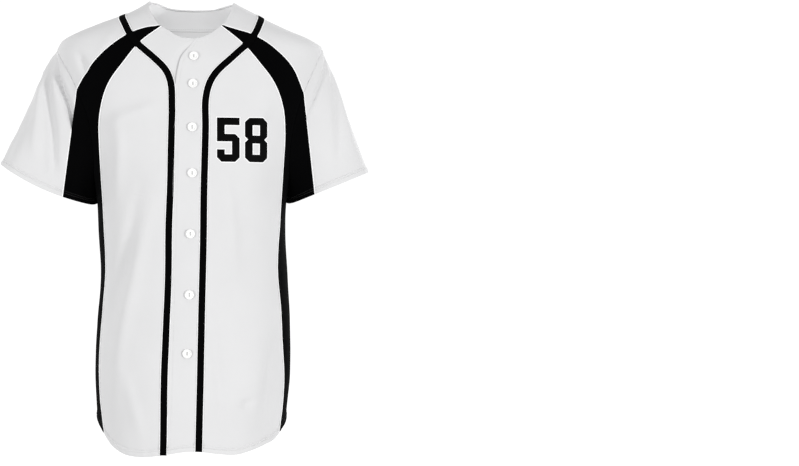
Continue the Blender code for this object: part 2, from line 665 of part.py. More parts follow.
def tape_piece(tree):
    """One tape from hem to hem round the back of the neck."""
    front_right, front_left, back = on_front(TAPE_RIGHT), on_front(TAPE_LEFT), on_back(TAPE_BACK)
    front_left[:, 0] -= 360
    ridges = (0, TAPE_RIDGE["left"]), (180, TAPE_RIDGE["right"])
    path = np.array([*front_left[::-1], ridges[0], *back, ridges[1], *front_right[::-1]])
    points = body_plain(path)
    along = np.concatenate([[0], np.cumsum(np.linalg.norm(np.diff(points, axis=0), axis=1))])
    at = np.linspace(0, along[-1], TAPE_STEPS * TAPE_FINE + 1)
    line = np.stack([smooth(at, along, column) for column in path.T], axis=1)
    centre, way = body_plain(line), body_normal(line)
    side = unit(np.cross(way, np.gradient(centre, axis=0)))
    lower, upper = [], []
    for shift in (-0.5, 0, 0.5):
        target = centre + side * shift * TAPE_WIDTH
        lift = cloth_height(tree, target, way)
        near = [np.roll(lift, step) for step in range(-TAPE_FINE, TAPE_FINE + 1)]
        lift = np.maximum.reduce([lift, *near])[:, None]
        rows = (target + way * (lift + TAPE_SEAT))[::TAPE_FINE]
        lower.append(rows)
        upper.append(rows + way[::TAPE_FINE] * TAPE_WALL)
    walled("tape", np.stack(upper, axis=1), np.stack(lower, axis=1), TAPE_BLACK)


def ring(shape, radius, sides, level, centre=0.0):
    turns = np.linspace(0, 2 * np.pi, sides, endpoint=False)
    return [shape.verts.new((radius * math.cos(t), centre + radius * math.sin(t), level)) for t in turns]


def bridge(shape, lower, upper):
    for i in range(len(lower)):
        j = (i + 1) % len(lower)
        shape.faces.new((lower[i], lower[j], upper[j], upper[i]))


def pierced_disc(shape, outline, level):
    """A flat face inside an outline, with two holes left open. Gives the rings of the holes."""
    holes = [ring(shape, BUTTON_HOLE, HOLE_SIDES, level, side * HOLE_SPREAD) for side in (-1, 1)]
    edges = []
    for loop in (outline, *holes):
        for pair in zip(loop, loop[1:] + loop[:1]):
            edges.append(shape.edges.get(pair) or shape.edges.new(pair))
    bmesh.ops.triangle_fill(shape, edges=edges, use_beauty=True)
    return holes


def button_piece(name, place, way):
    """A dished button with two holes through it."""
    shape = bmesh.new()
    profile = [
        (BUTTON_RADIUS - 0.5, 0), (BUTTON_RADIUS, 0.7), (BUTTON_RADIUS - 0.4, BUTTON_HEIGHT - 0.4),
        (BUTTON_RADIUS - 0.9, BUTTON_HEIGHT), (BUTTON_RADIUS - BUTTON_RIM, BUTTON_HEIGHT - BUTTON_DISH),
    ]
    rings = [ring(shape, radius, BUTTON_SIDES, level) for radius, level in profile]
    for lower, upper in zip(rings, rings[1:]):
        bridge(shape, lower, upper)
    low_holes = pierced_disc(shape, rings[0], 0.0)
    high_holes = pierced_disc(shape, rings[-1], profile[-1][1])
    for low, high in zip(low_holes, high_holes):
        bridge(shape, low, high)
    face_outwards(shape)
    turn = Vector(way).to_track_quat("Z", "Y").to_matrix()
    for vertex in shape.verts:
        vertex.co = (turn @ vertex.co + Vector(place)) * MM
    mesh = bpy.data.meshes.new(name)
    shape.to_mesh(mesh)
    shape.free()
    add_object(name, mesh, BUTTON_WHITE)


def facing_piece(tree):
    """The strip inside the back of the neck, seated on the inner face of the back."""
    angle = np.linspace(*FACING_ANGLES, FACING_COLUMNS)
    share = np.sin(np.radians(angle))
    top = neck_back(angle) - FACING_DROP
    rows = np.linspace(0, 1, 4)[:, None]
    level = top - rows * FACING_DEPTH * (0.45 + 0.55 * share)
    skin = np.stack([np.broadcast_to(angle, level.shape), level], axis=-1)
    base, way = body_plain(skin), body_normal(skin)
    outer = base.copy()
    for index in np.ndindex(level.shape):
        origin = Vector((base[index] - way[index] * 15) * MM)
        hit = tree.ray_cast(origin, Vector(way[index]), 0.03)[0]
        start = np.array(hit) / MM if hit else base[index] - way[index] * CLOTH
        outer[index] = start - way[index] * FACING_SEAT
    walled("neck_facing", outer, outer - way * FACING_WALL, WHITE)


def build():
    for old in list(bpy.data.objects):
        bpy.data.objects.remove(old)
    lines = {side: inset_lines(side) for side in ("right", "left")}
    skins = {}
    yoke_pieces(skins, lines)
    front_pieces(skins, lines)
    inset_pieces(skins, lines)
    back_piece(skins, lines)
    points, normals = {}, {}
    for name, (skin, sunk) in skins.items():
        points[name] = body(skin)
        normals[name] = body_normal(skin)
        if not np.isscalar(sunk):
            points[name] = points[name] + normals[name] * sunk
    sleeves = {}
    sleeve_pieces(sleeves, lines)
    for name, grid in sleeves.items():
        points[name] = grid
        normals[name] = grid_normals(grid, name.split("_")[1])
    total = shared_normals(points, normals)
    outer, inner = {}, {}
    for name, grid in points.items():
        moved, lay = draw_back(grid, normals[name], total)
        outer[name], inner[name] = moved, moved - lay * CLOTH
        slot = BLACK if name.startswith(("inset", "gusset")) else WHITE
        walled(name, moved, inner[name], slot)
    tree = surface_tree([grid for name, grid in outer.items() if name not in sleeves])
    tape_piece(tree)
    facing_piece(surface_tree([inner["back"]]))
    places, ways = seated(tree, on_front(BUTTONS), TAPE_SEAT)
    for number, (place, way) in enumerate(zip(places, ways), 1):
        button_piece(f"button_{number}", place, way)


build()
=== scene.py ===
# %% [markdown]
# # A baseball jersey, filled out as it is worn
#
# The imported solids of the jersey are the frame: they say where everything is. On that frame we lay thin cloth
# with its folds, seams and hems, then the white cords, the braid, the buttons and the stitches.
# Sizes in the tables are millimetres: x to the wearer's left, y to the back, z up from the shoulder line.

import json
import math

import bmesh
import bpy
import numpy as np
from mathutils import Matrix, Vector
from mathutils.bvhtree import BVHTree
from mathutils.geometry import delaunay_2d_cdt

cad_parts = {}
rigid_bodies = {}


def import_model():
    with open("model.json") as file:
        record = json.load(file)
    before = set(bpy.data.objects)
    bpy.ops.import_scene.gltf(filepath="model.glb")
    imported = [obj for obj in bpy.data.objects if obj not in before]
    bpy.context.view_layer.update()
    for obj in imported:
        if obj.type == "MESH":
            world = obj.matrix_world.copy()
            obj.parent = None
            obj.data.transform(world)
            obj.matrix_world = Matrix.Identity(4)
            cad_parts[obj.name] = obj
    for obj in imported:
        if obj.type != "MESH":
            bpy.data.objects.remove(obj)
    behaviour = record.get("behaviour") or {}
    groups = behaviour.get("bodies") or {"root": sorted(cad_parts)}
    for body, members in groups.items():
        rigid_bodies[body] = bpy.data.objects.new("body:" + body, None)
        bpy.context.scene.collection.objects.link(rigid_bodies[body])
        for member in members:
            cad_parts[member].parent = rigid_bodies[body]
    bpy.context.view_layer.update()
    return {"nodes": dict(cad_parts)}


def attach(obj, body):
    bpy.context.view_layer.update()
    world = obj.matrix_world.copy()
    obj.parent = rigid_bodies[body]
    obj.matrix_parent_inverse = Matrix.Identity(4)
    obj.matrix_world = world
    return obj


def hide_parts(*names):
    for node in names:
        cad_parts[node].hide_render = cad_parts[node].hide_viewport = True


MM = 0.001
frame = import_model()
print("solids in the frame:", len(frame["nodes"]))

# %% [markdown]
# ## The shape of the body
#
# A worn jersey is a tube of cloth with a rounded, slightly square section. We could sculpt it, but a short table
# of rings gives the same form and can be asked for any point on it. Each ring is an oval given by four sizes.

# %% Rings of the body
# level, half width on the wearer's right and left, depth to front and back
BODY_RINGS = np.array([
    (40, 58, 54, 45, 62), (32, 73, 68, 50, 70), (8, 116.5, 111.5, 66, 92), (-10, 166.5, 146, 78, 101),
    (-24, 201, 176.5, 87, 107), (-36, 224, 205.5, 93, 111), (-50, 235, 227, 99, 115), (-75, 236, 231, 108, 122),
    (-100, 231, 228, 114, 127), (-130, 223, 220, 120, 132), (-180, 206, 203, 127, 137),
    (-240, 186, 184, 132, 139), (-300, 169, 168, 134, 138), (-370, 164, 164, 132, 132),
    (-440, 160, 167, 128, 127), (-530, 166, 172, 130, 129), (-620, 170, 172, 134, 134),
    (-700, 165.5, 164.5, 138, 139), (-770, 161.5, 163, 140, 141),
], float)
LEVEL, HALF_RIGHT, HALF_LEFT, DEPTH_FRONT, DEPTH_BACK = range(5)
ROUNDNESS = 2.3  # an ellipse has 2, and more is squarer
CURVE_POINTS = 800  # points that stand for a smooth curve
SIDES = ("right", "left")
print("rings of the body:", len(BODY_RINGS))

# %% [markdown]
# The same few tools serve the whole lesson: a smooth curve through a few knots, a soft hump, and points at even
# steps along a line. The sizes of a ring at any level come from such curves.

# %% Curves, humps and lines
def smooth(t, knots, values):
    """A smooth curve through knots that rise or fall steadily."""
    knots, values = np.asarray(knots, float), np.asarray(values, float)
    if knots[0] > knots[-1]:
        knots, values = knots[::-1], values[::-1]
    slope = np.gradient(values, knots)
    i = np.clip(np.searchsorted(knots, t) - 1, 0, len(knots) - 2)
    h = knots[i + 1] - knots[i]
    u = (t - knots[i]) / h
    rise = values[i] + (values[i + 1] - values[i]) * u * u * (3 - 2 * u)
    return rise + h * u * (1 - u) * (slope[i] * (1 - u) - slope[i + 1] * u)


def bell(x, width):
    """A soft hump: 1 where x is 0, and about a third where it is the width."""
    return np.exp(-((x / width) ** 2))


def unit(v):
    return v / np.maximum(np.linalg.norm(v, axis=-1, keepdims=True), 1e-9)


def lengths(points):
    """Distance along a row of points, from its start."""
    return np.concatenate([[0], np.cumsum(np.linalg.norm(np.diff(points, axis=0), axis=1))])


def columns_at(at, along, line):
    """Points of a line at some places, where along says at which place each of its own points is."""
    return np.stack([np.interp(at, along, column) for column in line.T], axis=1)


def at_shares(line, shares):
    """Points of a line at shares of its own count, from 0 to 1."""
    return columns_at(np.asarray(shares) * (len(line) - 1), np.arange(len(line)), line)


def resample(line, count):
    """The same line with another number of points, evenly by length."""
    along = lengths(line)
    return columns_at(np.linspace(0, along[-1], count), along, line)


def through(points, count=CURVE_POINTS):
    """Points evenly along a smooth line through the given ones."""
    points = np.asarray(points, float)
    along = lengths(points)
    fine = np.linspace(0, along[-1], CURVE_POINTS)
    return resample(np.stack([smooth(fine, along, column) for column in points.T], axis=1), count)


def ring_size(z, column):
    return smooth(z, BODY_RINGS[:, LEVEL], BODY_RINGS[:, column])


def half_width(x, z):
    """Half the body's width at a level, on the side where x lies."""
    return np.where(x < 0, ring_size(z, HALF_RIGHT), ring_size(z, HALF_LEFT))


# %% [markdown]
# A point of the body is named by its angle, counted from the wearer's left side by way of the back, and its level.
# Seams are drawn in these two numbers, and one function turns them into a place in space.

# %% From angle and level to a point
SMALL_TURN, SMALL_RISE = np.array([1.5, 0]), np.array([0, 2.0])  # steps over which a slope is measured


def body_plain(skin):
    turn, z = np.radians(skin[..., 0]), skin[..., 1]
    c, s = np.cos(turn), np.sin(turn)
    depth = np.where(s < 0, ring_size(z, DEPTH_FRONT), ring_size(z, DEPTH_BACK))
    power = 2 / ROUNDNESS
    x = half_width(c, z) * np.sign(c) * np.abs(c) ** power
    y = depth * np.sign(s) * np.abs(s) ** power
    return np.stack([x, y, z], axis=-1)


def body_normal(skin):
    """Outward directions, from small steps round the body and up it."""
    across = body_plain(skin + SMALL_TURN) - body_plain(skin - SMALL_TURN)
    up = body_plain(skin + SMALL_RISE) - body_plain(skin - SMALL_RISE)
    return unit(np.cross(across, up))


def angle_in_front(x, z):
    x, z = np.asarray(x, float), np.asarray(z, float)
    share = np.clip(np.abs(x) / half_width(x, z), 0, 1) ** (ROUNDNESS / 2)
    turn = np.degrees(np.arccos(share))
    return np.where(x < 0, 180 + turn, 360 - turn)


def on_front(points):
    points = np.asarray(points, float)
    return np.stack([angle_in_front(points[:, 0], points[:, 1]), points[:, 1]], axis=1)


def on_back(points):
    flipped = on_front(points)
    flipped[:, 0] = 360 - flipped[:, 0]
    return flipped


print("chest half width at -240:", round(float(ring_size(-240, HALF_RIGHT)), 1), "mm")

# %% [markdown]
# ## Folds
#
# Cloth that hangs from the shoulders has long soft ridges and troughs. A simulation would place them where it
# likes; here each one is drawn as a curved line with its own width and height, so that it lies where the
# real one does. A second small term keeps the cloth between the folds from looking like a plate.

# %% The folds of the body
# side, points of the line (x, z), half width, height; a minus is a trough
FOLDS = [
    ("front", [(-146, -200), (-120, -184), (-84, -172), (-50, -160)], 15, 7.0),
    ("front", [(-60, -300), (-80, -378), (-97, -453), (-112, -520), (-124, -594), (-126, -660)], 13, 5.2),
    ("front", [(-86, -290), (-107, -378), (-124, -453), (-138, -520)], 11, -4.0),
    ("front", [(-124, -168), (-121, -232), (-127, -325)], 11, 4.4),
    ("front", [(-118, -600), (-96, -670), (-84, -725)], 11, 2.5),
    ("front", [(56, -270), (66, -370), (70, -460)], 14, 4.5),
    ("front", [(146, -535), (137, -612), (121, -700)], 15, -8.5),
    ("front", [(88, -652), (94, -670)], 11, -4.0),
    ("front", [(32, -500), (42, -600), (50, -700)], 9, -3.2),
    ("front", [(140, -150), (112, -186), (100, -250)], 12, 5.0),
    ("front", [(120, -40), (132, -60), (150, -84)], 7, 1.2),
    ("front", [(-126, -24), (-142, -44), (-160, -70)], 7, 1.2),
    ("front", [(-196, -66), (-188, -84), (-178, -106)], 6, -5.0),
    ("back", [(100, -335), (122, -486), (139, -569), (160, -641)], 11, 8.0),
    ("back", [(122, -215), (134, -298), (158, -365)], 9, 6.0),
    ("back", [(146, -250), (150, -290), (158, -330)], 10, -6.0),
    ("back", [(130, -400), (150, -464), (160, -480)], 12, -6.5),
    ("back", [(150, -590), (158, -640)], 10, -6.0),
    ("back", [(134, -660), (150, -690)], 9, -5.5),
    ("back", [(-128, -190), (-134, -270), (-138, -350)], 13, -7.0),
    ("back", [(-112, -440), (-132, -540), (-136, -690)], 18, -8.0),
    ("back", [(-88, -420), (-98, -560), (-92, -660)], 15, 5.5),
    ("back", [(104, -660), (112, -700), (118, -722)], 7, -4.0),
    ("back", [(84, -680), (96, -712), (106, -734)], 7, 3.6),
    ("back", [(66, -690), (76, -715), (90, -735)], 7, -3.6),
    ("back", [(48, -690), (60, -716), (72, -740)], 7, 3.2),
    ("back", [(24, -690), (32, -716), (44, -742)], 8, -3.0),
    ("back", [(30, -440), (20, -560), (36, -700)], 18, -1.6),
    ("back", [(-20, -470), (-12, -600), (-24, -720)], 16, 1.5),
    ("back", [(-60, -400), (-74, -540), (-70, -690)], 14, -1.8),
    ("back", [(186, -84), (150, -88), (120, -96)], 8, 1.6),
    ("back", [(-200, -84), (-176, -106), (-150, -130)], 9, 1.8),
    ("back", [(-100, -66), (-112, -110), (-120, -160)], 9, -1.2),
]
print("folds on the body:", len(FOLDS))

# %% [markdown]
# A fold falls off like a bell from its line, more gently on one flank than on the other, and fades at its ends.

# %% How high the folds stand
FOLD_POINTS, FOLD_REACH = 40, 3.2  # points along a fold, and the widths beyond which it is nothing
GENTLE, STEEP = 1.15, 0.85  # shares of the width on the two flanks of a fold
SIDE_FADE = 40  # folds die out towards the sides, where front and back meet


def fold_height(points):
    """Height of all folds at points of the plain body."""
    flat = points.reshape(-1, 3)
    total = np.zeros(len(flat))
    for side, line, width, height in FOLDS:
        line = np.asarray(line, float)
        low, high = line.min(axis=0) - FOLD_REACH * width, line.max(axis=0) + FOLD_REACH * width
        near = (flat[:, 1] < 0) == (side == "front")
        near &= ((flat[:, ::2] > low) & (flat[:, ::2] < high)).all(axis=1)
        if not near.any():
            continue
        here = flat[near][:, ::2]
        path = through(line, FOLD_POINTS)
        gap = np.linalg.norm(here[:, None] - path[None], axis=2)
        nearest = gap.argmin(axis=1)
        t = nearest / (FOLD_POINTS - 1)
        way = unit(np.gradient(path, axis=0))[nearest]
        off = here - path[nearest]
        side_of = off[:, 0] * way[:, 1] - off[:, 1] * way[:, 0]
        reach = width * np.where(side_of * height > 0, GENTLE, STEEP)
        fade = np.clip(t * 2.5 + 0.15, 0, 1) * np.clip((1 - t) * 2.5 + 0.15, 0, 1)
        total[near] += height * fade * bell(gap.min(axis=1), reach)
    total *= np.clip(np.abs(flat[:, 1]) / SIDE_FADE, 0, 1)
    return total.reshape(points.shape[:-1])


def wander(points):
    """Slow unevenness of hanging cloth, a few tenths of a millimetre."""
    x, y, z = points[..., 0], points[..., 1], points[..., 2]
    wave = 0.34 * np.sin(x / 21 + z / 57 + 1.3) * np.sin(z / 43 - y / 37)
    wave += 0.22 * np.sin(x / 13 - z / 31 + 0.4) * np.sin(z / 67 + y / 19 + 2.0)
    return wave + 0.12 * np.sin(x / 6.7 + z / 23) * np.sin(z / 17 + y / 9)


def folded(skin):
    """The body with its folds alone."""
    plain = body_plain(skin)
    return plain + body_normal(skin) * fold_height(plain)[..., None]


def cloth(skin):
    """The outer face of the body's cloth."""
    return folded(skin) + body_normal(skin) * wander(body_plain(skin))[..., None]


print("highest fold:", max(height for *_, height in FOLDS), "mm")

# %% [markdown]
# ## Seams
#
# A maker cuts the jersey from a back, two fronts, two shoulder yokes, two long side insets, two sleeves and the
# gussets under the arms. Here the lines where they meet are drawn from short tables.

# %% Tables of the seams
# armholes: levels, and degrees that they reach to the front and the back of the side
ARMHOLE_TOP, ARMHOLE_BOTTOM = {"right": -55, "left": -47}, -290
FRONT_SWING, BACK_SWING = 32, 27
TURN_AT_YOKE_CORNER = {"right": 68, "left": 74}  # degrees down the armhole from its top
TURN_AT_GUSSET_TIP, TURN_AT_SIDE_SEAM = 117, 145
# the neck: its level at the shoulders, how far it rises off a straight line behind, and its front edge
NECK_BACK = {"right": 32, "left": 28.4}
NECK_BACK_RISE = [(0, 0), (30, 1.8), (48, 0.5), (60, -0.9), (90, -1.5), (120, 0), (137, 2.6), (153, 3.4), (180, 0)]
NECK_FRONT = [
    (-73, 32), (-74.2, 15.3), (-68.5, 0.3), (-54.5, -21.5), (-39, -32), (-22, -42.3),
    (4, -46), (21.3, -42.5), (38.6, -31.9), (51.7, -21.1), (63.3, -1.7), (68.2, 12), (70.2, 21), (74.2, 28.4),
]
NECK_FRONT_AT, NECK_FRONT_LOW = {"right": 3, "left": 9}, 6  # its points at the insets' tips, and the lowest one
INSET_TIP = 2.6  # the inset's width at the neck
INSET_UPPER = {
    "right": [(-78.3, -24.3), (-101.1, -32.1), (-133.2, -51.6), (-170, -86.3)],
    "left": [(70.5, -26.4), (101.2, -36), (136.1, -58), (171, -92)],
}
INSET_INNER = {
    "right": [(-87, -51), (-114, -84), (-141.8, -123.6), (-156, -174.6), (-157, -220), (-154.6, -275),
              (-150, -373), (-147.5, -440), (-152.2, -499), (-158.5, -590), (-156.6, -665), (-150, -716)],
    "left": [(86, -54.5), (115.1, -89), (140, -124), (154, -164), (157.3, -205), (156.1, -247),
             (150.5, -352), (145.8, -435), (152.3, -515), (158.8, -605), (155.5, -665), (149, -716)],
}
SIDE_BACK_ANGLE = (15.5, 18)  # of the side seam behind the side, at its top and at the hem
LAP_EDGE = [(6.8, -46), (-2.4, -57.9), (-17.5, -77.2), (-24.8, -104), (-28.4, -130), (-29.4, -200),
            (-32.9, -348), (-36.1, -495), (-42.4, -737)]
UNDERLAP = [(26, -150), (-2, -738)]  # the lower front's own edge, hidden under the upper front
LAP_SLOPE, MM_PER_DEGREE = 7, 2.3  # width over which the lower front comes up again
LAP_DEPTH = [(-30, 0.15), (-54, 0.15), (-68, 2.4), (-104, 2.6), (-128, 1.2), (-760, 1.2)]  # level, depth
# angle, level
HEM = [
    (0, -697), (26, -703), (40, -717), (52, -730), (64, -740), (78, -746), (90, -748),
    (102, -746), (116, -740), (128, -728), (140, -714), (155, -700), (180, -697),
    (205, -716), (217, -735.5), (228, -746), (239, -748.8), (248, -747.3), (259, -742.3),
    (270, -737.5), (282, -741.5), (292, -744), (304, -738.5), (316, -731), (326, -725),
    (335, -714), (360, -697),
]
FINE = 240  # points along each drawn seam

# %% [markdown]
# Each armhole is an oval in angle and level. The hem rises at the sides and falls to a shirt tail behind.

# %% Armholes, hem and neck
def from_side(side, angle):
    """The angle on the body that lies so far behind the wearer's right or left side."""
    return 360 + angle if side == "left" else 180 - angle


def armhole(side, front, turn):
    turn = np.radians(turn)
    middle, half = (ARMHOLE_TOP[side] + ARMHOLE_BOTTOM) / 2, (ARMHOLE_TOP[side] - ARMHOLE_BOTTOM) / 2
    swing = -FRONT_SWING if front else BACK_SWING
    return np.stack([from_side(side, swing * np.sin(turn)), middle + half * np.cos(turn)], axis=1)


def hem_level(angle):
    return smooth(np.mod(angle, 360), *np.transpose(HEM))


def along_hem(start, end):
    angle = np.linspace(start, end, FINE)
    return np.stack([angle, hem_level(angle)], axis=1)


def side_seam(side):
    start = armhole(side, False, np.array([TURN_AT_SIDE_SEAM]))[0]
    angle = from_side(side, np.linspace(*SIDE_BACK_ANGLE, FINE))
    angle += (start[0] - angle[0]) * np.linspace(1, 0, FINE) ** 3
    return np.stack([angle, np.linspace(start[1], hem_level(angle[-1]), FINE)], axis=1)


def neck_front(first, last):
    """The neck's front edge from one of its points to another."""
    fine = through(NECK_FRONT)
    ends = [np.abs(fine - NECK_FRONT[row]).sum(axis=1).argmin() for row in (first, last)]
    return fine[ends[0]:ends[1] + 1] if ends[0] < ends[1] else fine[ends[1]:ends[0] + 1][::-1]


def neck_point(x):
    """The neck's front edge at x, between the insets."""
    fine = through(NECK_FRONT[NECK_FRONT_AT["right"]:NECK_FRONT_AT["left"] + 1])
    return np.stack([x, np.interp(x, *fine.T)], axis=-1)


# %% [markdown]
# The inset starts as a narrow tip at the neck, widens to the armhole, and runs down the side to the hem. Its rows
# are counted here as they are in the solids, so that the cloth lies on them.

# %% The two long edges of an inset
ROWS = 8  # of the cloth to each row of the solids
INSET_PARTS, BACK_PARTS = (5, 7, 3, 14), (5, 7, 2, 14)  # rows of the solids in each part of an edge
YOKE_ROWS, HOLE_ROWS = 5 * ROWS, 12 * ROWS  # down to the yoke's corner, and to the armhole's lowest point


def joined(lines, parts):
    """Lines one after another, each cut into steps of its own."""
    cut = [at_shares(line, np.linspace(0, 1, part * ROWS + 1))[:-1] for line, part in zip(lines, parts)]
    return np.concatenate([*cut, lines[-1][-1:]])


def inset_lines(side):
    tip = np.array(NECK_FRONT[NECK_FRONT_AT[side]], float)
    toward = neck_front(NECK_FRONT_AT[side], NECK_FRONT_LOW)
    inner_tip = toward[np.searchsorted(np.linalg.norm(toward - tip, axis=1), INSET_TIP)]
    front_hole = armhole(side, True, np.linspace(TURN_AT_YOKE_CORNER[side], 180, FINE))
    rear_hole = armhole(side, False, np.linspace(180, TURN_AT_SIDE_SEAM, FINE))
    corner = front_hole[0]
    upper = on_front(through([tip, *INSET_UPPER[side], (body_plain(corner[None])[0, 0], corner[1])], FINE))
    upper[-1] = corner
    outer = joined((upper, front_hole, rear_hole, side_seam(side)), INSET_PARTS)
    inner_line = through([inner_tip, *INSET_INNER[side]])
    level = outer[:, 1].copy()
    level[0] = inner_tip[1]
    falling = np.minimum.accumulate(level)
    level[1:HOLE_ROWS] = falling[1:HOLE_ROWS]
    level[HOLE_ROWS:] = np.linspace(falling[HOLE_ROWS - 1], inner_line[-1, 1], len(level) - HOLE_ROWS + 1)[1:]
    x = np.interp(-level, -inner_line[:, 1], inner_line[:, 0])
    x[0] = inner_tip[0]
    inner = on_front(np.stack([x, level], axis=1))
    inner[-1, 1] = hem_level(inner[-1, 0])
    if side == "left":
        outer[:, 0] = np.where(outer[:, 0] < 90, outer[:, 0] + 360, outer[:, 0])
    return inner, outer


insets = {side: inset_lines(side) for side in SIDES}
print("rows along an inset:", len(insets["right"][0]))

# %% [markdown]
# ## From seams to panels
#
# A panel is a patch between four edges, filled in the way that Coons patches are: the edges are blended towards
# the middle. Rows and columns are closer together by the seams, because stitching makes small steps there.

# %% A patch between four edges
def coons(top, bottom, left, right, u, v):
    """A grid inside four edges, at shares u across and v down."""
    top, bottom = at_shares(top, u)[None], at_shares(bottom, u)[None]
    left, right = at_shares(left, v)[:, None], at_shares(right, v)[:, None]
    u, v = u[None, :, None], v[:, None, None]
    across = (1 - v) * top + v * bottom
    down = (1 - u) * left + u * right
    top_corners = (1 - u) * top[:, :1] + u * top[:, -1:]
    bottom_corners = (1 - u) * bottom[:, :1] + u * bottom[:, -1:]
    return across + down - ((1 - v) * top_corners + v * bottom_corners)


SEAM_STEPS = [0, 0.9, 1.8, 3.0, 4.6, 6.6]
HEM_STEPS = [0, 1.0, 2.4, 4.6, 6.8, 7.6, 8.4, 9.4, 10.6, 11.4, 12.2, 13.2, 15.5]


def shares(length, first=SEAM_STEPS, last=SEAM_STEPS, step=4.0):
    """Shares from 0 to 1 along an edge of this length, close together at its ends."""
    first, last = np.array(first, float), length - np.array(last, float)[::-1]
    count = max(2, int(round((last[0] - first[-1]) / step)) + 1)
    return np.concatenate([first[:-1], np.linspace(first[-1], last[0], count), last[1:]]) / length


# %% [markdown]
# The edges of the panels, each from its seam lines: fronts, yokes, insets and back.

# %% Edges of every body panel
def guide(line, top, levels_like):
    """An edge on the front from its top to the hem, with rows shared out as along another edge."""
    share = (levels_like[:, 1] - levels_like[0, 1]) / (levels_like[-1, 1] - levels_like[0, 1])
    line = through([top, *line])
    level = top[1] + (hem_level(angle_in_front(*line[-1])) - top[1]) * share
    return on_front(np.stack([np.interp(-level, -line[:, 1], line[:, 0]), level], axis=1))


def lap_line(levels_like):
    return guide(LAP_EDGE[1:], neck_point(LAP_EDGE[0][0]), levels_like)


def neck_between(start, end):
    return on_front(neck_point(np.linspace(start, end, FINE)))


def yoke_edges(side):
    upper = insets[side][1][:YOKE_ROWS + 1]
    levels = np.linspace(NECK_BACK[side], ARMHOLE_TOP[side], len(upper))
    ridge = np.stack([np.full(len(upper), from_side(side, 0.0)), levels], axis=1)
    shoulder_row = 0 if side == "right" else len(NECK_FRONT) - 1
    neck = on_front(resample(neck_front(shoulder_row, NECK_FRONT_AT[side]), FINE))
    neck[0], neck[-1] = ridge[0], upper[0]
    hole = armhole(side, True, np.linspace(0, TURN_AT_YOKE_CORNER[side], FINE))
    hole[-1] = upper[-1]
    return neck, hole, ridge, upper


def inset_edges(side):
    inner, outer = insets[side]
    hem = along_hem(inner[-1, 0], outer[-1, 0])
    hem[0], hem[-1] = inner[-1], outer[-1]
    return np.linspace(inner[0], outer[0], 20), hem, inner, outer


# %% [markdown]
# The back is one piece, whose sides run from the shoulder round the armhole and down to the hem. The upper front
# ends at the edge that shows, and the lower front at an edge that lies hidden under it.

# %% Edges of the back and the fronts
def neck_back(angle):
    straight = NECK_BACK["left"] + (NECK_BACK["right"] - NECK_BACK["left"]) * angle / 180
    return straight + smooth(angle, *np.transpose(NECK_BACK_RISE))


def back_edges():
    sides = []
    for side in ("left", "right"):
        ridge = yoke_edges(side)[2].copy()
        ridge[:, 0] = 180 if side == "right" else 0
        upper = armhole(side, False, np.linspace(0, TURN_AT_GUSSET_TIP, FINE))
        lower = armhole(side, False, np.linspace(TURN_AT_GUSSET_TIP, TURN_AT_SIDE_SEAM, FINE))
        edge = joined((ridge, upper, lower, side_seam(side)), BACK_PARTS)
        if side == "left":
            edge[:, 0] = np.where(edge[:, 0] > 270, edge[:, 0] - 360, edge[:, 0])
        sides.append(edge)
    left, right = sides
    angle = np.linspace(0, 180, FINE)
    neck = np.stack([angle, neck_back(angle)], axis=1)
    hem = along_hem(left[-1, 0], right[-1, 0])
    hem[0], hem[-1] = left[-1], right[-1]
    return neck, hem, left, right


def front_left_edges():
    inner = insets["left"][0]
    lap = lap_line(inner)
    top = neck_between(LAP_EDGE[0][0], body_plain(inner[0])[0])
    top[0], top[-1] = lap[0], inner[0]
    return top, along_hem(lap[-1, 0], inner[-1, 0]), lap, inner


def front_right_edges():
    """The lower front as one piece from its inset to its free edge, which lies under the upper front."""
    inner = insets["right"][0]
    under = guide(UNDERLAP, neck_point(UNDERLAP[0][0]), inner)
    top = neck_between(body_plain(inner[0])[0], UNDERLAP[0][0])
    top[0], top[-1] = inner[0], under[0]
    return top, along_hem(inner[-1, 0], under[-1, 0]), inner, under


panel_edges = {
    "back": back_edges(), "front_right": front_right_edges(), "front_left": front_left_edges(),
    "yoke_right": yoke_edges("right"), "yoke_left": yoke_edges("left"),
    "inset_right": inset_edges("right"), "inset_left": inset_edges("left"),
}
print("body panels:", ", ".join(panel_edges))

# %% [markdown]
# ## Seams and hems in relief
#
# Stitching pulls the cloth down into a small valley, and the layers beside it stand up a little. A hem is folded
# up and sewn, so it is thicker below its row of stitches. These steps are tenths of a millimetre, and they are
# what makes cloth look sewn when the light grazes it.

# %% Height of seams and hems
HEM_DEPTH, SECOND_ROW = 11.6, 7.6  # from the edge up to the two rows of stitches
EDGE_ROW = 6.5  # from a free edge to its one row


def seam_relief(distance, along):
    pucker = 0.16 * np.sin(along / 2.9) + 0.1 * np.sin(along / 1.9 + 0.7)
    return -0.55 * bell(distance, 1.5) + 0.28 * bell(distance - 5, 3.2) + pucker * bell(distance, 7)


def doubled(distance, depth):
    """1 where the cloth is folded double beside its edge, and 0 beyond that depth."""
    return 1 / (1 + np.exp(np.clip((distance - depth) / 0.6, -30, 30)))


def hem_relief(distance, along):
    valley = -1.4 * bell(distance - HEM_DEPTH, 1.3) - 1.2 * bell(distance - SECOND_ROW, 1.0)
    pucker = (0.2 * np.sin(along / 3.7) + 0.14 * np.sin(along / 2.3 + 1.1)) * bell(distance - 8, 7)
    return 1.3 * doubled(distance, HEM_DEPTH + 0.6) + valley - 0.35 * bell(distance, 1.2) + pucker


def edge_relief(distance, along):
    """A free edge that is turned in, such as the neck or the lap of the front."""
    fold = 0.35 * doubled(distance, EDGE_ROW) - 0.32 * bell(distance - EDGE_ROW, 0.9)
    return fold - 0.3 * bell(distance, 1.1) + 0.05 * np.sin(along / 3.1) * np.exp(-distance / 8)


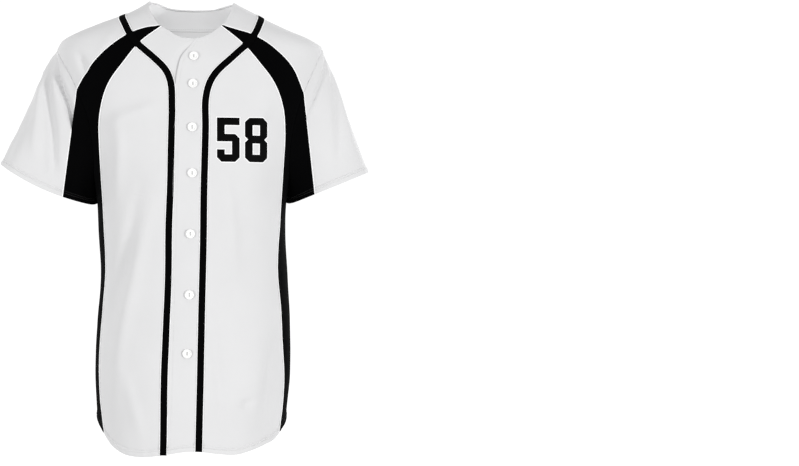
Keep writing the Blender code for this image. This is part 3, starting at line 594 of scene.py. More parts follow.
RELIEFS = {"seam": seam_relief, "hem": hem_relief, "edge": edge_relief}
# how each panel is finished along its top, bottom, left and right edges
FINISH = {
    "back": ("edge", "hem", "seam", "seam"),
    "front_right": ("edge", "hem", "seam", "edge"),
    "front_left": ("edge", "hem", "edge", "seam"),
}
for side in SIDES:
    FINISH["yoke_" + side] = ("edge", "seam", "seam", "seam")
    FINISH["inset_" + side] = ("edge", "hem", "seam", "seam")
    FINISH["sleeve_" + side] = FINISH["gusset_" + side] = ("seam", "hem", "seam", "seam")


def steps_along(grid, axis):
    """Distance along each row (axis 1) or column (axis 0) of a grid, from its start."""
    step = np.linalg.norm(np.diff(grid, axis=axis), axis=2)
    start = np.zeros((1, grid.shape[1])) if axis == 0 else np.zeros((grid.shape[0], 1))
    return np.concatenate([start, np.cumsum(step, axis=axis)], axis=axis)


def relief(grid, finish):
    across, down = steps_along(grid, 1), steps_along(grid, 0)
    distance = (down, down[-1:] - down, across, across[:, -1:] - across)
    along = (across, across, down, down)
    return sum(RELIEFS[kind](d, a) for kind, d, a in zip(finish, distance, along))


# %% [markdown]
# Now the body panels are filled in. The lower front dips where the upper one laps over it.

# %% Body panels as grids
STEP_ACROSS, STEP_DOWN = 3.6, 4.4  # between points of the cloth away from the seams
grids, ways = {}, {}


def lap_sink(skin):
    """How far the lower front lies in, by its place beside the upper one's edge."""
    lap = lap_line(insets["right"][0])
    edge_angle = np.interp(-skin[..., 1], -lap[:, 1], lap[:, 0])
    inward = np.clip((skin[..., 0] - edge_angle) * MM_PER_DEGREE / LAP_SLOPE + 1, 0, 1)
    level, depth = np.transpose(LAP_DEPTH)
    return np.interp(-skin[..., 1], -level, depth) * inward ** 2 * (3 - 2 * inward)


def fill_panel(name):
    edges = panel_edges[name]
    middle = [at_shares(edge, [0.5])[0] for edge in edges[2:]]
    width = lengths(body_plain(np.linspace(*middle, 60)))[-1]
    u = shares(max(width, 30), step=STEP_ACROSS)
    below = SEAM_STEPS if name.startswith("yoke") else HEM_STEPS
    v = shares(lengths(body_plain(edges[3]))[-1], last=below, step=STEP_DOWN)
    skin = coons(*edges, u, v)
    points, way = cloth(skin), body_normal(skin)
    if name == "front_right":
        points = points - way * lap_sink(skin)[..., None]
    grids[name] = points + way * relief(points, FINISH[name])[..., None]
    ways[name] = way


for name in panel_edges:
    fill_panel(name)
    print(f"{name}: {grids[name].shape[0]} rows, {grids[name].shape[1]} columns")

# %% [markdown]
# ## Sleeves
#
# A sleeve is a loft: each line starts at the armhole and ends at the cuff, bending the way set-in sleeves do. The
# black gusset closes it under the arm. The folds fan out from the point of the shoulder.

# %% Cuffs and lofts
CUFFS = {
    "right": {"outer": (-336, -254), "inner": (-168.7, -327), "bow": 10},
    "left": {"outer": (309.5, -268.5), "inner": (169, -325.5), "bow": 0},
}
CUFF_DEPTH, CUFF_TURN_FRONT, CUFF_TURN_BACK = 42, 68, 76  # half its depth, and where the gusset's edges meet it
CORNER_RISE, CORNER_REACH = {"right": 5.0, "left": 4.0}, 0.05  # the cuff is drawn up where it meets the body
HOLE_MIDDLE = {"right": (-185, -165), "left": (182, -165)}  # of each armhole
SHOULDER_PUFF = {"right": 0.11, "left": 0.06}
# points of the line (share round, share along), half width in mm, height; a minus is a trough
SLEEVE_FOLDS = {
    "right": [
        ([(0.42, 0.02), (0.42, 0.25)], 20.0, 3.0),
        ([(0.42, 0.36), (0.42, 0.8)], 24.0, -2.8),
        ([(0.33, 0), (0.24, 0.1), (0.1, 0.19), (0.0, 0.30), (-0.06, 0.4)], 9.0, -13.0),
        ([(0.30, 0.05), (0.20, 0.16), (0.08, 0.26), (0.0, 0.38)], 4.0, 1.5),
        ([(0.35, 0.07), (0.30, 0.17), (0.2, 0.33), (0.12, 0.5), (0.08, 0.7), (0.06, 0.9)], 11.0, -10.5),
        ([(0.34, 0.25), (0.26, 0.4), (0.2, 0.6), (0.17, 0.8)], 12.0, 3.5),
        ([(0.29, 0.5), (0.30, 1)], 13.0, -2.5),
        ([(0.54, 0), (0.66, 0.09), (0.84, 0.19), (1.0, 0.26)], 7.5, -11.0),
        ([(0.53, 0.1), (0.55, 0.35), (0.58, 0.6), (0.63, 0.95)], 8.0, -8.0),
        ([(0.54, 0.2), (0.62, 0.35), (0.70, 0.55), (0.76, 0.8)], 7.0, 4.5),
        ([(0.66, 0.3), (0.74, 0.5), (0.84, 0.8)], 9.0, -4.0),
    ],
    "left": [
        ([(0.35, 0), (0.26, 0.1), (0.12, 0.18), (0.0, 0.26)], 6.0, -5.0),
        ([(0.36, 0.15), (0.32, 0.4), (0.28, 0.8)], 12.0, 2.5),
        ([(0.31, 0.15), (0.22, 0.5), (0.14, 0.9)], 11.0, -3.5),
        ([(0.54, 0), (0.66, 0.09), (0.84, 0.18), (1.0, 0.25)], 7.0, -7.0),
        ([(0.54, 0.1), (0.59, 0.3), (0.66, 0.6), (0.72, 0.9)], 9.0, -5.0),
        ([(0.52, 0.15), (0.54, 0.4), (0.58, 0.8)], 8.0, 3.0),
    ],
}
SLEEVE_ROUND, SLEEVE_LONG = 380, 180  # the sizes that the shares of the folds are of
FRONT_ROUND, BACK_ROUND, SLEEVE_LENGTH = 110, 190, 190  # round the armhole from the shoulder, and to the cuff
GUSSET_ROUND, GUSSET_LENGTH = 200, 110
TOUCH, DRAW, DRAW_REACH = 0.4, 3.0, 6  # how a gusset comes to rest against the body
print("folds on the sleeves:", sum(len(folds) for folds in SLEEVE_FOLDS.values()))

# %% [markdown]
# Each line of the loft is a curve with a direction at both ends, so the sleeve leaves the shoulder rounded and
# reaches the cuff nearly straight.

# %% Lofts and their folds
def cuff(side, turn):
    size = CUFFS[side]
    outer, inner = np.array(size["outer"], float), np.array(size["inner"], float)
    arm = (inner - outer) / 2
    down = np.array([-arm[1], arm[0]]) / np.linalg.norm(arm)
    down = down if down[1] < 0 else -down
    c, s = np.cos(np.radians(turn)), np.sin(np.radians(turn))
    flat = (outer + inner) / 2 + arm * c[:, None] + down * (size["bow"] * s * s)[:, None]
    flat[:, 1] += CORNER_RISE[side] * np.exp(-(1 - c) / CORNER_REACH)
    return np.stack([flat[:, 0], -CUFF_DEPTH * s, flat[:, 1]], axis=1)


def loft(side, hole, turns, puff, s):
    """Lines from the armhole to the cuff. Puff bends their starts outwards, and a little at their ends."""
    end = cuff(side, turns)
    out = np.array([-1.0 if side == "right" else 1.0, 0, 0])
    chord = end - hole
    size = np.linalg.norm(chord, axis=1, keepdims=True)
    start_way = unit(chord / size + out * puff[:, None]) * size
    end_way = unit(chord / size - out * 0.25 * puff[:, None]) * size
    s = s[:, None, None]
    grid = (2 * s**3 - 3 * s**2 + 1) * hole + (s**3 - 2 * s**2 + s) * start_way
    return grid + (3 * s**2 - 2 * s**3) * end + (s**3 - s**2) * end_way


def sleeve_way(grid, side):
    """Outward directions of a sleeve, told by its middle line."""
    normal = unit(np.cross(np.gradient(grid, axis=1), np.gradient(grid, axis=0)))
    start = np.array(HOLE_MIDDLE[side], float)
    line = (np.array(CUFFS[side]["outer"]) + np.array(CUFFS[side]["inner"])) / 2 - start
    t = (grid[..., ::2] - start) @ line / (line @ line)
    core = start + np.clip(t, 0, 1)[..., None] * line
    core = np.stack([core[..., 0], np.zeros(core.shape[:-1]), core[..., 1]], axis=-1)
    return normal if np.median(((grid - core) * normal).sum(axis=-1)) > 0 else -normal


def sleeve_folds(side, share, s):
    height = np.zeros((len(s), len(share)))
    for line, width, size in SLEEVE_FOLDS[side]:
        at, along = np.array(line).T
        middle = np.interp(s, along, at) if len(at) < 4 else smooth(np.clip(s, along[0], along[-1]), along, at)
        slant = np.hypot(1, np.gradient(middle, s) * SLEEVE_ROUND / SLEEVE_LONG)
        t = (s - along[0]) / (along[-1] - along[0])
        fade = np.clip(np.minimum(t * 5 + 0.3, (1 - t) * 4 + 0.2), 0, 1)
        gap = (share[None] - middle[:, None]) * SLEEVE_ROUND / slant[:, None]
        height += size * fade[:, None] * bell(gap, width)
    return height * (np.clip(s / 0.07, 0, 1) * np.clip((1.12 - s) / 0.3, 0, 1))[:, None]


# %% [markdown]
# The corners of the yoke, the gusset and the side seam are the fixed points round an armhole. Shares between them
# are turned into places on the armhole and on the cuff together.

# %% Sleeves and gussets as grids
def sewn(name, grid, side, s):
    """The grid of a sleeve or gusset with its seams, its hem and its unevenness."""
    ways[name] = sleeve_way(grid, side)
    height = relief(grid, FINISH[name]) + wander(grid) * np.minimum(s, 1 - s)[:, None] * 2
    return grid + ways[name] * height[..., None]


def sleeve_panel(side):
    front, back = shares(FRONT_ROUND)[:-1], shares(BACK_ROUND, step=STEP_ACROSS)
    at = np.concatenate([front, 1 + back])  # 0 at the yoke's corner, 1 on top, 2 at the gusset's tip
    turn = np.interp(at, [0, 1, 2], [-TURN_AT_YOKE_CORNER[side], 0, TURN_AT_GUSSET_TIP])
    skin = np.where((at < 1)[:, None], armhole(side, True, -turn), armhole(side, False, turn))
    cuff_turn = np.interp(at, [0, 1, 2], [CUFF_TURN_FRONT, 180, 360 - CUFF_TURN_BACK])
    puff = SHOULDER_PUFF[side] * np.cos((at - 1) * np.pi / 2) ** 2
    s = shares(SLEEVE_LENGTH, last=HEM_STEPS)
    grid = loft(side, folded(skin), cuff_turn, puff, s)
    share = np.interp(at, [0, 1, 2], [0, 5 / 12, 1])
    grid = grid + sleeve_way(grid, side) * sleeve_folds(side, share, s)[..., None]
    name = "sleeve_" + side
    grids[name] = sewn(name, grid, side, s)


def against_body(grid, share):
    """A gusset whose lowest part is drawn in until it nearly touches the side of the body."""
    x, y, z = grid[..., 0], grid[..., 1], grid[..., 2]
    inward = np.clip(1 - (np.abs(y) / ring_size(z, DEPTH_FRONT)) ** ROUNDNESS, 0, 1) ** (1 / ROUNDNESS)
    clear = np.abs(x) - half_width(x, z) * inward - wander(grid)
    drawn = np.maximum(np.minimum(clear, TOUCH), clear - DRAW * bell(clear, DRAW_REACH))
    moved = grid.copy()
    moved[..., 0] += np.sign(x) * (drawn - clear) * share
    return moved


def gusset_panel(side):
    at = shares(GUSSET_ROUND) * 12  # 0 at the tip, 2 at the side seam, 5 at the lowest point, 12 at the yoke's corner
    turn = np.interp(at, [0, 2, 5, 12],
                     [TURN_AT_GUSSET_TIP, TURN_AT_SIDE_SEAM, 180, 360 - TURN_AT_YOKE_CORNER[side]])
    skin = np.where((turn > 180)[:, None], armhole(side, True, 360 - turn), armhole(side, False, turn))
    cuff_turn = np.interp(at, [0, 5, 12], [360 - CUFF_TURN_BACK, 360, 360 + CUFF_TURN_FRONT])
    s = shares(GUSSET_LENGTH, last=HEM_STEPS)
    name = "gusset_" + side
    grid = sewn(name, loft(side, folded(skin), cuff_turn, np.zeros(len(at)), s), side, s)
    grids[name] = against_body(grid, bell(at - 5, 1.8) * np.clip(s / 0.2, 0, 1)[:, None])


for side in SIDES:
    sleeve_panel(side)
    gusset_panel(side)
print("cloth points in all:", sum(grid.shape[0] * grid.shape[1] for grid in grids.values()))

# %% [markdown]
# ## Materials
#
# The white cloth is a fine polyester knit: a rounded grid of tiny loops, soft sheen, and a faint unevenness of
# tone. The pattern follows each panel through its own UV map, which is in metres.

# %% Building blocks for materials
def rgba(tone):
    return (tone, tone, tone, 1) if isinstance(tone, float) else (*tone, 1)


def feed(tree, node, **inputs):
    """Values and links for the inputs of a node. An underscore stands for a space in an input's name."""
    for name, value in inputs.items():
        socket = node.inputs[name.replace("_", " ")]
        if isinstance(value, bpy.types.NodeSocket):
            tree.links.new(value, socket)
        else:
            socket.default_value = value
    return node


def new_material(name, tone, roughness, sheen=0.0, specular=0.5):
    made = bpy.data.materials.new(name)
    made.use_nodes = True
    tree = made.node_tree
    shader = feed(tree, tree.nodes["Principled BSDF"], Base_Color=rgba(tone), Roughness=roughness,
                  Sheen_Weight=sheen, Sheen_Roughness=0.5, Specular_IOR_Level=specular)
    return made, tree, shader


def maths(tree, kind, first, second=None):
    node = tree.nodes.new("ShaderNodeMath")
    node.operation = kind
    for socket, value in zip(node.inputs, (first, second)):
        if isinstance(value, (int, float)):
            socket.default_value = value
        elif value is not None:
            tree.links.new(value, socket)
    return node.outputs[0]


# %% [markdown]
# Patterns come from sines along the cloth's own map and from noise. Each ends in a tint or in a bump.

# %% Waves, noise, tints and bumps
def along_cloth(tree):
    """The two lengths of the cloth's own map, in metres."""
    uv = tree.nodes.new("ShaderNodeUVMap")
    uv.uv_map = "cloth"
    parts = feed(tree, tree.nodes.new("ShaderNodeSeparateXYZ"), Vector=uv.outputs[0])
    return parts.outputs["X"], parts.outputs["Y"]


def wave(tree, value, pitch):
    """A sine along a length in metres, with this pitch in millimetres."""
    return maths(tree, "SINE", maths(tree, "MULTIPLY", value, 2 * math.pi / (pitch * MM)))


def noise(tree, scale, detail=2.0):
    """Noise that is fixed to the object."""
    place = tree.nodes.new("ShaderNodeTexCoord").outputs["Object"]
    node = feed(tree, tree.nodes.new("ShaderNodeTexNoise"), Vector=place, Scale=scale, Detail=detail)
    return node.outputs["Fac"]


def tinted(tree, shader, factor, low, high):
    """Base colour between two tones by a factor."""
    mix = tree.nodes.new("ShaderNodeMix")
    mix.data_type = "RGBA"
    feed(tree, mix, A=rgba(low), B=rgba(high), Factor=factor)
    feed(tree, shader, Base_Color=mix.outputs["Result"])


def bumped(tree, shader, height, strength, distance):
    bump = feed(tree, tree.nodes.new("ShaderNodeBump"), Strength=strength, Distance=distance, Height=height)
    feed(tree, shader, Normal=bump.outputs[0])


# %% [markdown]
# A knit is drawn as two crossed waves, one wale and one course apart. Noise of two sizes shades it.

# %% Knitted cloth, white and black
WALE, COURSE, RIB = 1.5, 1.3, 1.6  # pitches of the knit and of the braid


def knit(name, low, high, roughness, sheen, specular):
    made, tree, shader = new_material(name, low, roughness, sheen, specular)
    u, v = along_cloth(tree)
    loops = maths(tree, "MULTIPLY", wave(tree, u, WALE), wave(tree, v, COURSE))
    slow, quick = noise(tree, 14, 3), noise(tree, 420)
    height = maths(tree, "ADD", maths(tree, "MULTIPLY", loops, 0.5), maths(tree, "MULTIPLY", quick, 0.6))
    bumped(tree, shader, height, 0.35, 0.00018)
    tone = maths(tree, "ADD", maths(tree, "MULTIPLY", slow, 0.75), maths(tree, "MULTIPLY", loops, 0.12))
    tinted(tree, shader, maths(tree, "ADD", tone, 0.1), low, high)
    return made


WHITE_KNIT = knit("white_knit", (0.6, 0.6, 0.605), (0.66, 0.66, 0.665), 0.9, 0.05, 0.1)
BLACK_KNIT = knit("black_knit", (0.0006, 0.0006, 0.0007), (0.0014, 0.0014, 0.0016), 0.95, 0.0, 0.02)

# %% [markdown]
# The braid is a narrow woven band with slanting ribs. Cord and thread are plain twisted yarn.

# %% Braid, cord, thread, film and button
def braid_material():
    made, tree, shader = new_material("black_braid", 0.001, 0.9, 0.0, 0.02)
    u, v = along_cloth(tree)
    ribs = wave(tree, maths(tree, "ADD", maths(tree, "ABSOLUTE", u), v), RIB)
    bumped(tree, shader, ribs, 0.4, 0.0002)
    tinted(tree, shader, maths(tree, "MULTIPLY_ADD", ribs, 0.4), 0.0004, (0.0016, 0.0016, 0.0018))
    return made


def grained(name, low, high, look, grain, bump, cloud=None):
    """Fine noise gives a bump. The same noise, or a slower one, gives the two tones."""
    made, tree, shader = new_material(name, low, *look)
    fine = noise(tree, *grain)
    bumped(tree, shader, fine, *bump)
    tinted(tree, shader, noise(tree, *cloud) if cloud else fine, low, high)
    return made, tree, shader


def yarn(name, low, high, twist=1500):
    return grained(name, low, high, (0.7, 0.1, 0.35), (twist, 2), (0.3, 0.0001))[0]


def film(name, low, high, specular):
    return grained(name, low, high, (0.6, 0.0, specular), (700, 2), (0.2, 0.00008), (30, 3))[0]


def resin(name, low, high):
    made, tree, shader = grained(name, low, high, (0.3, 0.0, 0.4), (90, 4), (0.15, 0.00005))
    feed(tree, shader, Coat_Weight=0.25, Coat_Roughness=0.2)
    return made


BRAID = braid_material()
WHITE_CORD = yarn("white_cord", 0.93, 0.99, 900)
WHITE_THREAD = yarn("white_thread", 0.62, 0.74)
BUTTON_THREAD = yarn("button_thread", 0.46, 0.56)
GREY_THREAD = yarn("grey_thread", 0.34, 0.46)
BLACK_THREAD = yarn("black_thread", 0.01, 0.02)
BLACK_FILM = film("black_film", 0.0006, 0.0012, 0.03)
WHITE_FILM = film("white_film", 0.88, 0.94, 0.3)
BUTTON_RESIN = resin("button_resin", (0.76, 0.76, 0.755), (0.86, 0.86, 0.85))
print("materials:", len(bpy.data.materials))

# %% [markdown]
# ## Pieces and their walls
#
# Every piece is an object with one material that rides on the jersey's one body. Its faces are smooth, but edges
# that bend a lot stay sharp.

# %% Pieces of the scene
SHARP = math.radians(55)


def put(name, data):
    """A new object in the scene."""
    made = bpy.data.objects.new(name, data)
    bpy.context.scene.collection.objects.link(made)
    return made


def cover(mesh, finish):
    mesh.materials.clear()
    mesh.materials.append(finish)


def add_piece(name, mesh, finish):
    made = put(name, mesh)
    cover(mesh, finish)
    mesh.polygons.foreach_set("use_smooth", np.ones(len(mesh.polygons), dtype=bool))
    mesh.set_sharp_from_angle(angle=SHARP)
    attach(made, "root")
    return made


def piece_from(shape, name, finish):
    """A piece of the scene from a bmesh, which is then let go."""
    mesh = bpy.data.meshes.new(name)
    shape.to_mesh(mesh)
    shape.free()
    return add_piece(name, mesh, finish)


def turn_outwards(shape):
    """All faces of a closed shape look outwards."""
    bmesh.ops.recalc_face_normals(shape, faces=shape.faces)
    if shape.calc_volume(signed=True) < 0:
        bmesh.ops.reverse_faces(shape, faces=shape.faces)


# %% [markdown]
# A single face has no thickness, and its cut edge would look like paper. Each panel gets an inner face a
# millimetre in, and a rim that closes it. The UV map is measured along the cloth.

# %% A closed sheet from a grid
CLOTH = 1.0


def quads(number):
    """The faces between the numbered points of a grid."""
    corners = (number[:-1, :-1], number[:-1, 1:], number[1:, 1:], number[1:, :-1])
    return np.stack([q.ravel() for q in corners], axis=1)


def cloth_uv(grid):
    across, down = steps_along(grid, 1), steps_along(grid, 0)
    across = across - across[:, across.shape[1] // 2][:, None]
    down = down - down[down.shape[0] // 2][None]
    return np.stack([across, down], axis=-1).reshape(-1, 2) * MM


def sheet_mesh(name, outer, inner, finish):
    number = np.arange(outer.shape[0] * outer.shape[1]).reshape(outer.shape[:2])
    face, count = quads(number), number.size
    rim = np.concatenate([number[0], number[1:, -1], number[-1, :-1][::-1], number[1:-1, 0][::-1]])
    side = np.stack([rim, rim + count, np.roll(rim, -1) + count, np.roll(rim, -1)], axis=1)
    faces = np.concatenate([face, face[:, ::-1] + count, side])
    mesh = bpy.data.meshes.new(name)
    mesh.from_pydata((np.concatenate([outer, inner]).reshape(-1, 3) * MM).tolist(), [], faces.tolist())
    uv = np.concatenate([cloth_uv(outer)] * 2)
    corners = np.empty(len(mesh.loops), dtype=np.int32)
    mesh.loops.foreach_get("vertex_index", corners)
    mesh.uv_layers.new(name="cloth").data.foreach_set("uv", uv[corners].ravel())
    shape = bmesh.new()
    shape.from_mesh(mesh)
    turn_outwards(shape)
    shape.to_mesh(mesh)
    shape.free()
    return add_piece(name, mesh, finish)


# %% [markdown]
# Each panel replaces its own solid.


for name, grid in grids.items():
    dark = name.startswith(("inset", "gusset"))
    piece = sheet_mesh("cloth_" + name, grid, grid - ways[name] * CLOTH, BLACK_KNIT if dark else WHITE_KNIT)
    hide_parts(name)

# %% [markdown]
# ## Search trees
#
# Braid, buttons and numbers lie on the cloth. To seat them, we shoot a ray at the cloth and take the first hit.

# %% Finding the cloth under a point
RAY_START, RAY_LENGTH = 30, 60  # a ray starts this far outside, and looks this far


def surface_tree(names):
    corners, faces, start = [], [], 0
    for name in names:
        grid = grids[name]
        number = np.arange(grid.shape[0] * grid.shape[1]).reshape(grid.shape[:2]) + start
        faces += quads(number).tolist()
        corners.append(grid.reshape(-1, 3) * MM)
        start += number.size
    return BVHTree.FromPolygons(np.concatenate(corners).tolist(), faces)


def cloth_height(tree, target, way):
    """How high the cloth lies over each target, along its outward direction."""
    height = np.zeros(len(target))
    for i, (start, normal) in enumerate(zip(target, way)):
        hit = tree.ray_cast(Vector((start + normal * RAY_START) * MM), Vector(-normal), RAY_LENGTH * MM)[0]
        if hit:
            height[i] = (np.array(hit) / MM - start) @ normal
    return height


body_tree = surface_tree(panel_edges)

# %% [markdown]
# ## Cords and stitches by Geometry Nodes
#
# White cord outlines the black shapes, and rows of stitches hold the hems. Both follow a path, so two small
# node trees make them: one sweeps a round section along the path, the other sets a stitch at every pitch.

# %% The cord tree
def new_tree(name, inputs):
    tree = bpy.data.node_groups.new(name, "GeometryNodeTree")
    tree.interface.new_socket("Geometry", in_out="INPUT", socket_type="NodeSocketGeometry")
    sockets = {}
    for label, kind, value in inputs:
        socket = tree.interface.new_socket(label, in_out="INPUT", socket_type=kind)
        if value is not None:
            socket.default_value = value
        sockets[label] = socket.identifier
    tree.interface.new_socket("Geometry", in_out="OUTPUT", socket_type="NodeSocketGeometry")
    start, end = tree.nodes.new("NodeGroupInput"), tree.nodes.new("NodeGroupOutput")
    return tree, sockets, start, end


def chain(tree, first, *kinds):
    """Nodes linked one after another by their geometry."""
    made, socket = [], first
    for kind in kinds:
        node = tree.nodes.new(kind)
        tree.links.new(socket, node.inputs[0])
        socket = node.outputs[0]
        made.append(node)
    return made, socket


def cord_tree():
    tree, sockets, start, end = new_tree("cord_along_path", [
        ("Radius", "NodeSocketFloat", 0.001), ("Step", "NodeSocketFloat", 0.003),
        ("Material", "NodeSocketMaterial", None)])
    (_, even), path = chain(tree, start.outputs[0], "GeometryNodeMeshToCurve", "GeometryNodeResampleCurve")
    even.mode = "LENGTH"
    feed(tree, even, Length=start.outputs["Step"])
    ring = tree.nodes.new("GeometryNodeCurvePrimitiveCircle")
    feed(tree, ring, Resolution=8, Radius=start.outputs["Radius"])
    (sweep, _, coat, _), last = chain(
        tree, path, "GeometryNodeCurveToMesh", "GeometryNodeSetShadeSmooth",
        "GeometryNodeSetMaterial", "GeometryNodeRealizeInstances")
    feed(tree, sweep, Profile_Curve=ring.outputs[0], Fill_Caps=True)
    feed(tree, coat, Material=start.outputs["Material"])
    tree.links.new(last, end.inputs[0])
    return tree, sockets


# %% [markdown]
# A stitch is a short rounded bar. The tree turns each one along the path and realizes them at the end.

# %% The stitch tree
def stitch_tree():
    tree, sockets, start, end = new_tree("stitches_along_path", [
        ("Pitch", "NodeSocketFloat", 0.0032), ("Length", "NodeSocketFloat", 0.0024),
        ("Thickness", "NodeSocketFloat", 0.0003), ("Material", "NodeSocketMaterial", None)])
    (_, points), spots = chain(tree, start.outputs[0], "GeometryNodeMeshToCurve", "GeometryNodeCurveToPoints")
    points.mode = "LENGTH"
    feed(tree, points, Length=start.outputs["Pitch"])
    bead = feed(tree, tree.nodes.new("GeometryNodeMeshUVSphere"), Segments=6, Rings=4, Radius=1.0)
    thick, half_length = start.outputs["Thickness"], maths(tree, "MULTIPLY", start.outputs["Length"], 0.5)
    size = feed(tree, tree.nodes.new("ShaderNodeCombineXYZ"), X=thick, Y=thick, Z=half_length)
    place = feed(tree, tree.nodes.new("GeometryNodeInstanceOnPoints"), Points=spots,
                 Instance=bead.outputs["Mesh"], Rotation=points.outputs["Rotation"], Scale=size.outputs[0])
    (_, _, coat), last = chain(
        tree, place.outputs[0], "GeometryNodeRealizeInstances", "GeometryNodeSetShadeSmooth",
        "GeometryNodeSetMaterial")
    feed(tree, coat, Material=start.outputs["Material"])
    tree.links.new(last, end.inputs[0])
    return tree, sockets


CORD_TREE, STITCH_TREE = cord_tree(), stitch_tree()

# %% [markdown]
# The paths go in as a mesh of bare edges. The result is turned into a plain mesh, and the modifier goes.

# %% Running a tree on paths
CORD_STEP = 3.0
STITCH_PITCH, STITCH_LENGTH, STITCH_THICKNESS = 3.2, 2.5, 0.3


def run_tree(name, paths, tree, values, finish):
    corners, edges = [], []
    for path in paths:
        edges += [(len(corners) + i, len(corners) + i + 1) for i in range(len(path) - 1)]
        corners += (np.asarray(path) * MM).tolist()
    mesh = bpy.data.meshes.new(name + "_path")
    mesh.from_pydata(corners, edges, [])
    piece = put(name, mesh)
    group, sockets = tree
    modifier = piece.modifiers.new("made", "NODES")
    modifier.node_group = group
    for label, value in values.items():
        modifier[sockets[label]] = value
    modifier[sockets["Material"]] = finish
    bpy.context.view_layer.update()
    graph = bpy.context.evaluated_depsgraph_get()
    made = bpy.data.meshes.new_from_object(piece.evaluated_get(graph))
    piece.modifiers.remove(modifier)
    piece.data = made
    cover(made, finish)
    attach(piece, "root")
    total = sum(lengths(np.asarray(path))[-1] for path in paths)
    print(f"{name}: {len(made.polygons)} faces on {len(paths)} paths, {total:.0f} mm in all")
    return piece


def cord(name, paths, radius, finish):
    return run_tree(name, paths, CORD_TREE, {"Radius": radius * MM, "Step": CORD_STEP * MM}, finish)


def stitches(name, paths, finish):
    return run_tree(name, paths, STITCH_TREE, {
        "Pitch": STITCH_PITCH * MM, "Length": STITCH_LENGTH * MM, "Thickness": STITCH_THICKNESS * MM}, finish)


# %% [markdown]
# ## The braid
#
# One black braid runs up one front, across the shoulder, round the back of the neck and down the other front. It
# is laid by its middle line, and each cross row is lifted clear of the highest cloth beneath it.

# %% The braid's path and band
TAPE_RIGHT = [(-47.5, -744), (-41.2, -495), (-38, -348), (-34.8, -238), (-33.6, -152), (-35, -124),
              (-42, -104), (-64.7, -79.4), (-91.4, -55.9), (-106, -36), (-115, -16), (-120, 1)]
TAPE_LEFT = [(119.5, 0), (115.5, -17), (106, -38), (90, -58.6), (64.1, -82.6), (44, -101), (31, -119),
             (24, -142), (22.6, -200), (19, -373), (15.8, -520), (11.1, -737.5)]
TAPE_RIDGE = {"right": 7.0, "left": 5.0}  # its level where it crosses the shoulder
TAPE_BACK = [(112, 7), (100, 9), (84, 9.2), (53, 4.6), (0, 2), (-53, 3.4), (-84, 8.8), (-101, 9.8), (-112, 8.8)]
TAPE_WIDTH, TAPE_WALL, TAPE_SEAT = 12.0, 0.7, 0.25
TAPE_ROWS, TAPE_COLUMNS = 901, 7


def braid_rows():
    front_right, front_left, back = on_front(TAPE_RIGHT), on_front(TAPE_LEFT), on_back(TAPE_BACK)
    front_left[:, 0] -= 360
    ridges = (0, TAPE_RIDGE["left"]), (180, TAPE_RIDGE["right"])
    path = np.array([*front_left[::-1], ridges[0], *back, ridges[1], *front_right[::-1]])
    along = lengths(body_plain(path))
    at = np.linspace(0, along[-1], TAPE_ROWS)
    line = np.stack([smooth(at, along, column) for column in path.T], axis=1)
    centre, way = body_plain(line), body_normal(line)
    centre[5:-5] = np.stack([np.convolve(column, np.ones(11) / 11, mode="valid") for column in centre.T], axis=1)
    side = unit(np.cross(way, np.gradient(centre, axis=0)))
    rows = []
    for shift in np.linspace(-0.5, 0.5, TAPE_COLUMNS):
        target = centre + side * shift * TAPE_WIDTH
        lift = cloth_height(body_tree, target, way)
        lift = np.maximum.reduce([np.roll(lift, step) for step in range(-2, 3)])
        lift = np.convolve(np.pad(lift, 3, mode="edge"), np.ones(7) / 7, mode="valid")
        rows.append(target + way * (lift + TAPE_SEAT)[:, None])
    return np.stack(rows, axis=1), way


lower, braid_way = braid_rows()
crown = np.array([0.55, 0.85, 1, 1, 1, 0.85, 0.55]) * TAPE_WALL
braid = sheet_mesh("braid", lower + braid_way[:, None] * crown[None, :, None], lower, BRAID)
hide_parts("tape")

# %% [markdown]
# A white cord is sewn along each edge of the braid, and along each seam between black and white cloth.

# %% White cords
CORD_RADIUS, BRAID_CORD_RADIUS = 0.8, 0.58
SEAM_LIFT, SKIN_LIFT = 0.35, 0.2  # how far a cord's middle lies above the cloth
BRAID_CORD_LIFT, BRAID_CORD_OUT = 0.4, 0.35  # above the underside of the braid, and out from its edge


def along_seam(name, column):
    """The line of a panel's left or right edge, a little proud of the cloth."""
    return (grids[name] + ways[name] * SEAM_LIFT)[:, column]


def from_skin(skin):
    return cloth(skin) + body_normal(skin) * SKIN_LIFT


def inside(points, loops):
    """Whether points lie inside an odd number of loops."""
    odd = np.zeros(len(points), bool)
    for loop in loops:
        for (x0, y0), (x1, y1) in zip(loop, np.roll(loop, -1, axis=0)):
            if y0 == y1:
                continue
            crosses = (points[:, 1] > min(y0, y1)) & (points[:, 1] <= max(y0, y1))
            odd ^= crosses & (points[:, 0] < x0 + (points[:, 1] - y0) * (x1 - x0) / (y1 - y0))
    return odd


# %% [markdown]
# Where the braid crosses an inset, black meets black, and neither has a cord there. So the paths are cut: the
# braid's cords stop at the inset, and the inset's cords stop at the braid.

# %% Cutting the cords at the crossings
def pieces_kept(path, keep):
    """The stretches of a path whose points are all kept."""
    edges = np.flatnonzero(np.diff(np.concatenate([[0], keep.astype(int), [0]])))
    return [path[first:last] for first, last in zip(edges[::2], edges[1::2]) if last - first > 2]


def off_the_insets(path):
    keep = np.ones(len(path), bool)
    for inner, outer in insets.values():
        loop = body_plain(np.concatenate([inner[:HOLE_ROWS], outer[:HOLE_ROWS][::-1]]))[:, [0, 2]]
        keep &= ~(inside(path[:, [0, 2]], [loop]) & (path[:, 1] < 0))
    return pieces_kept(path, keep)


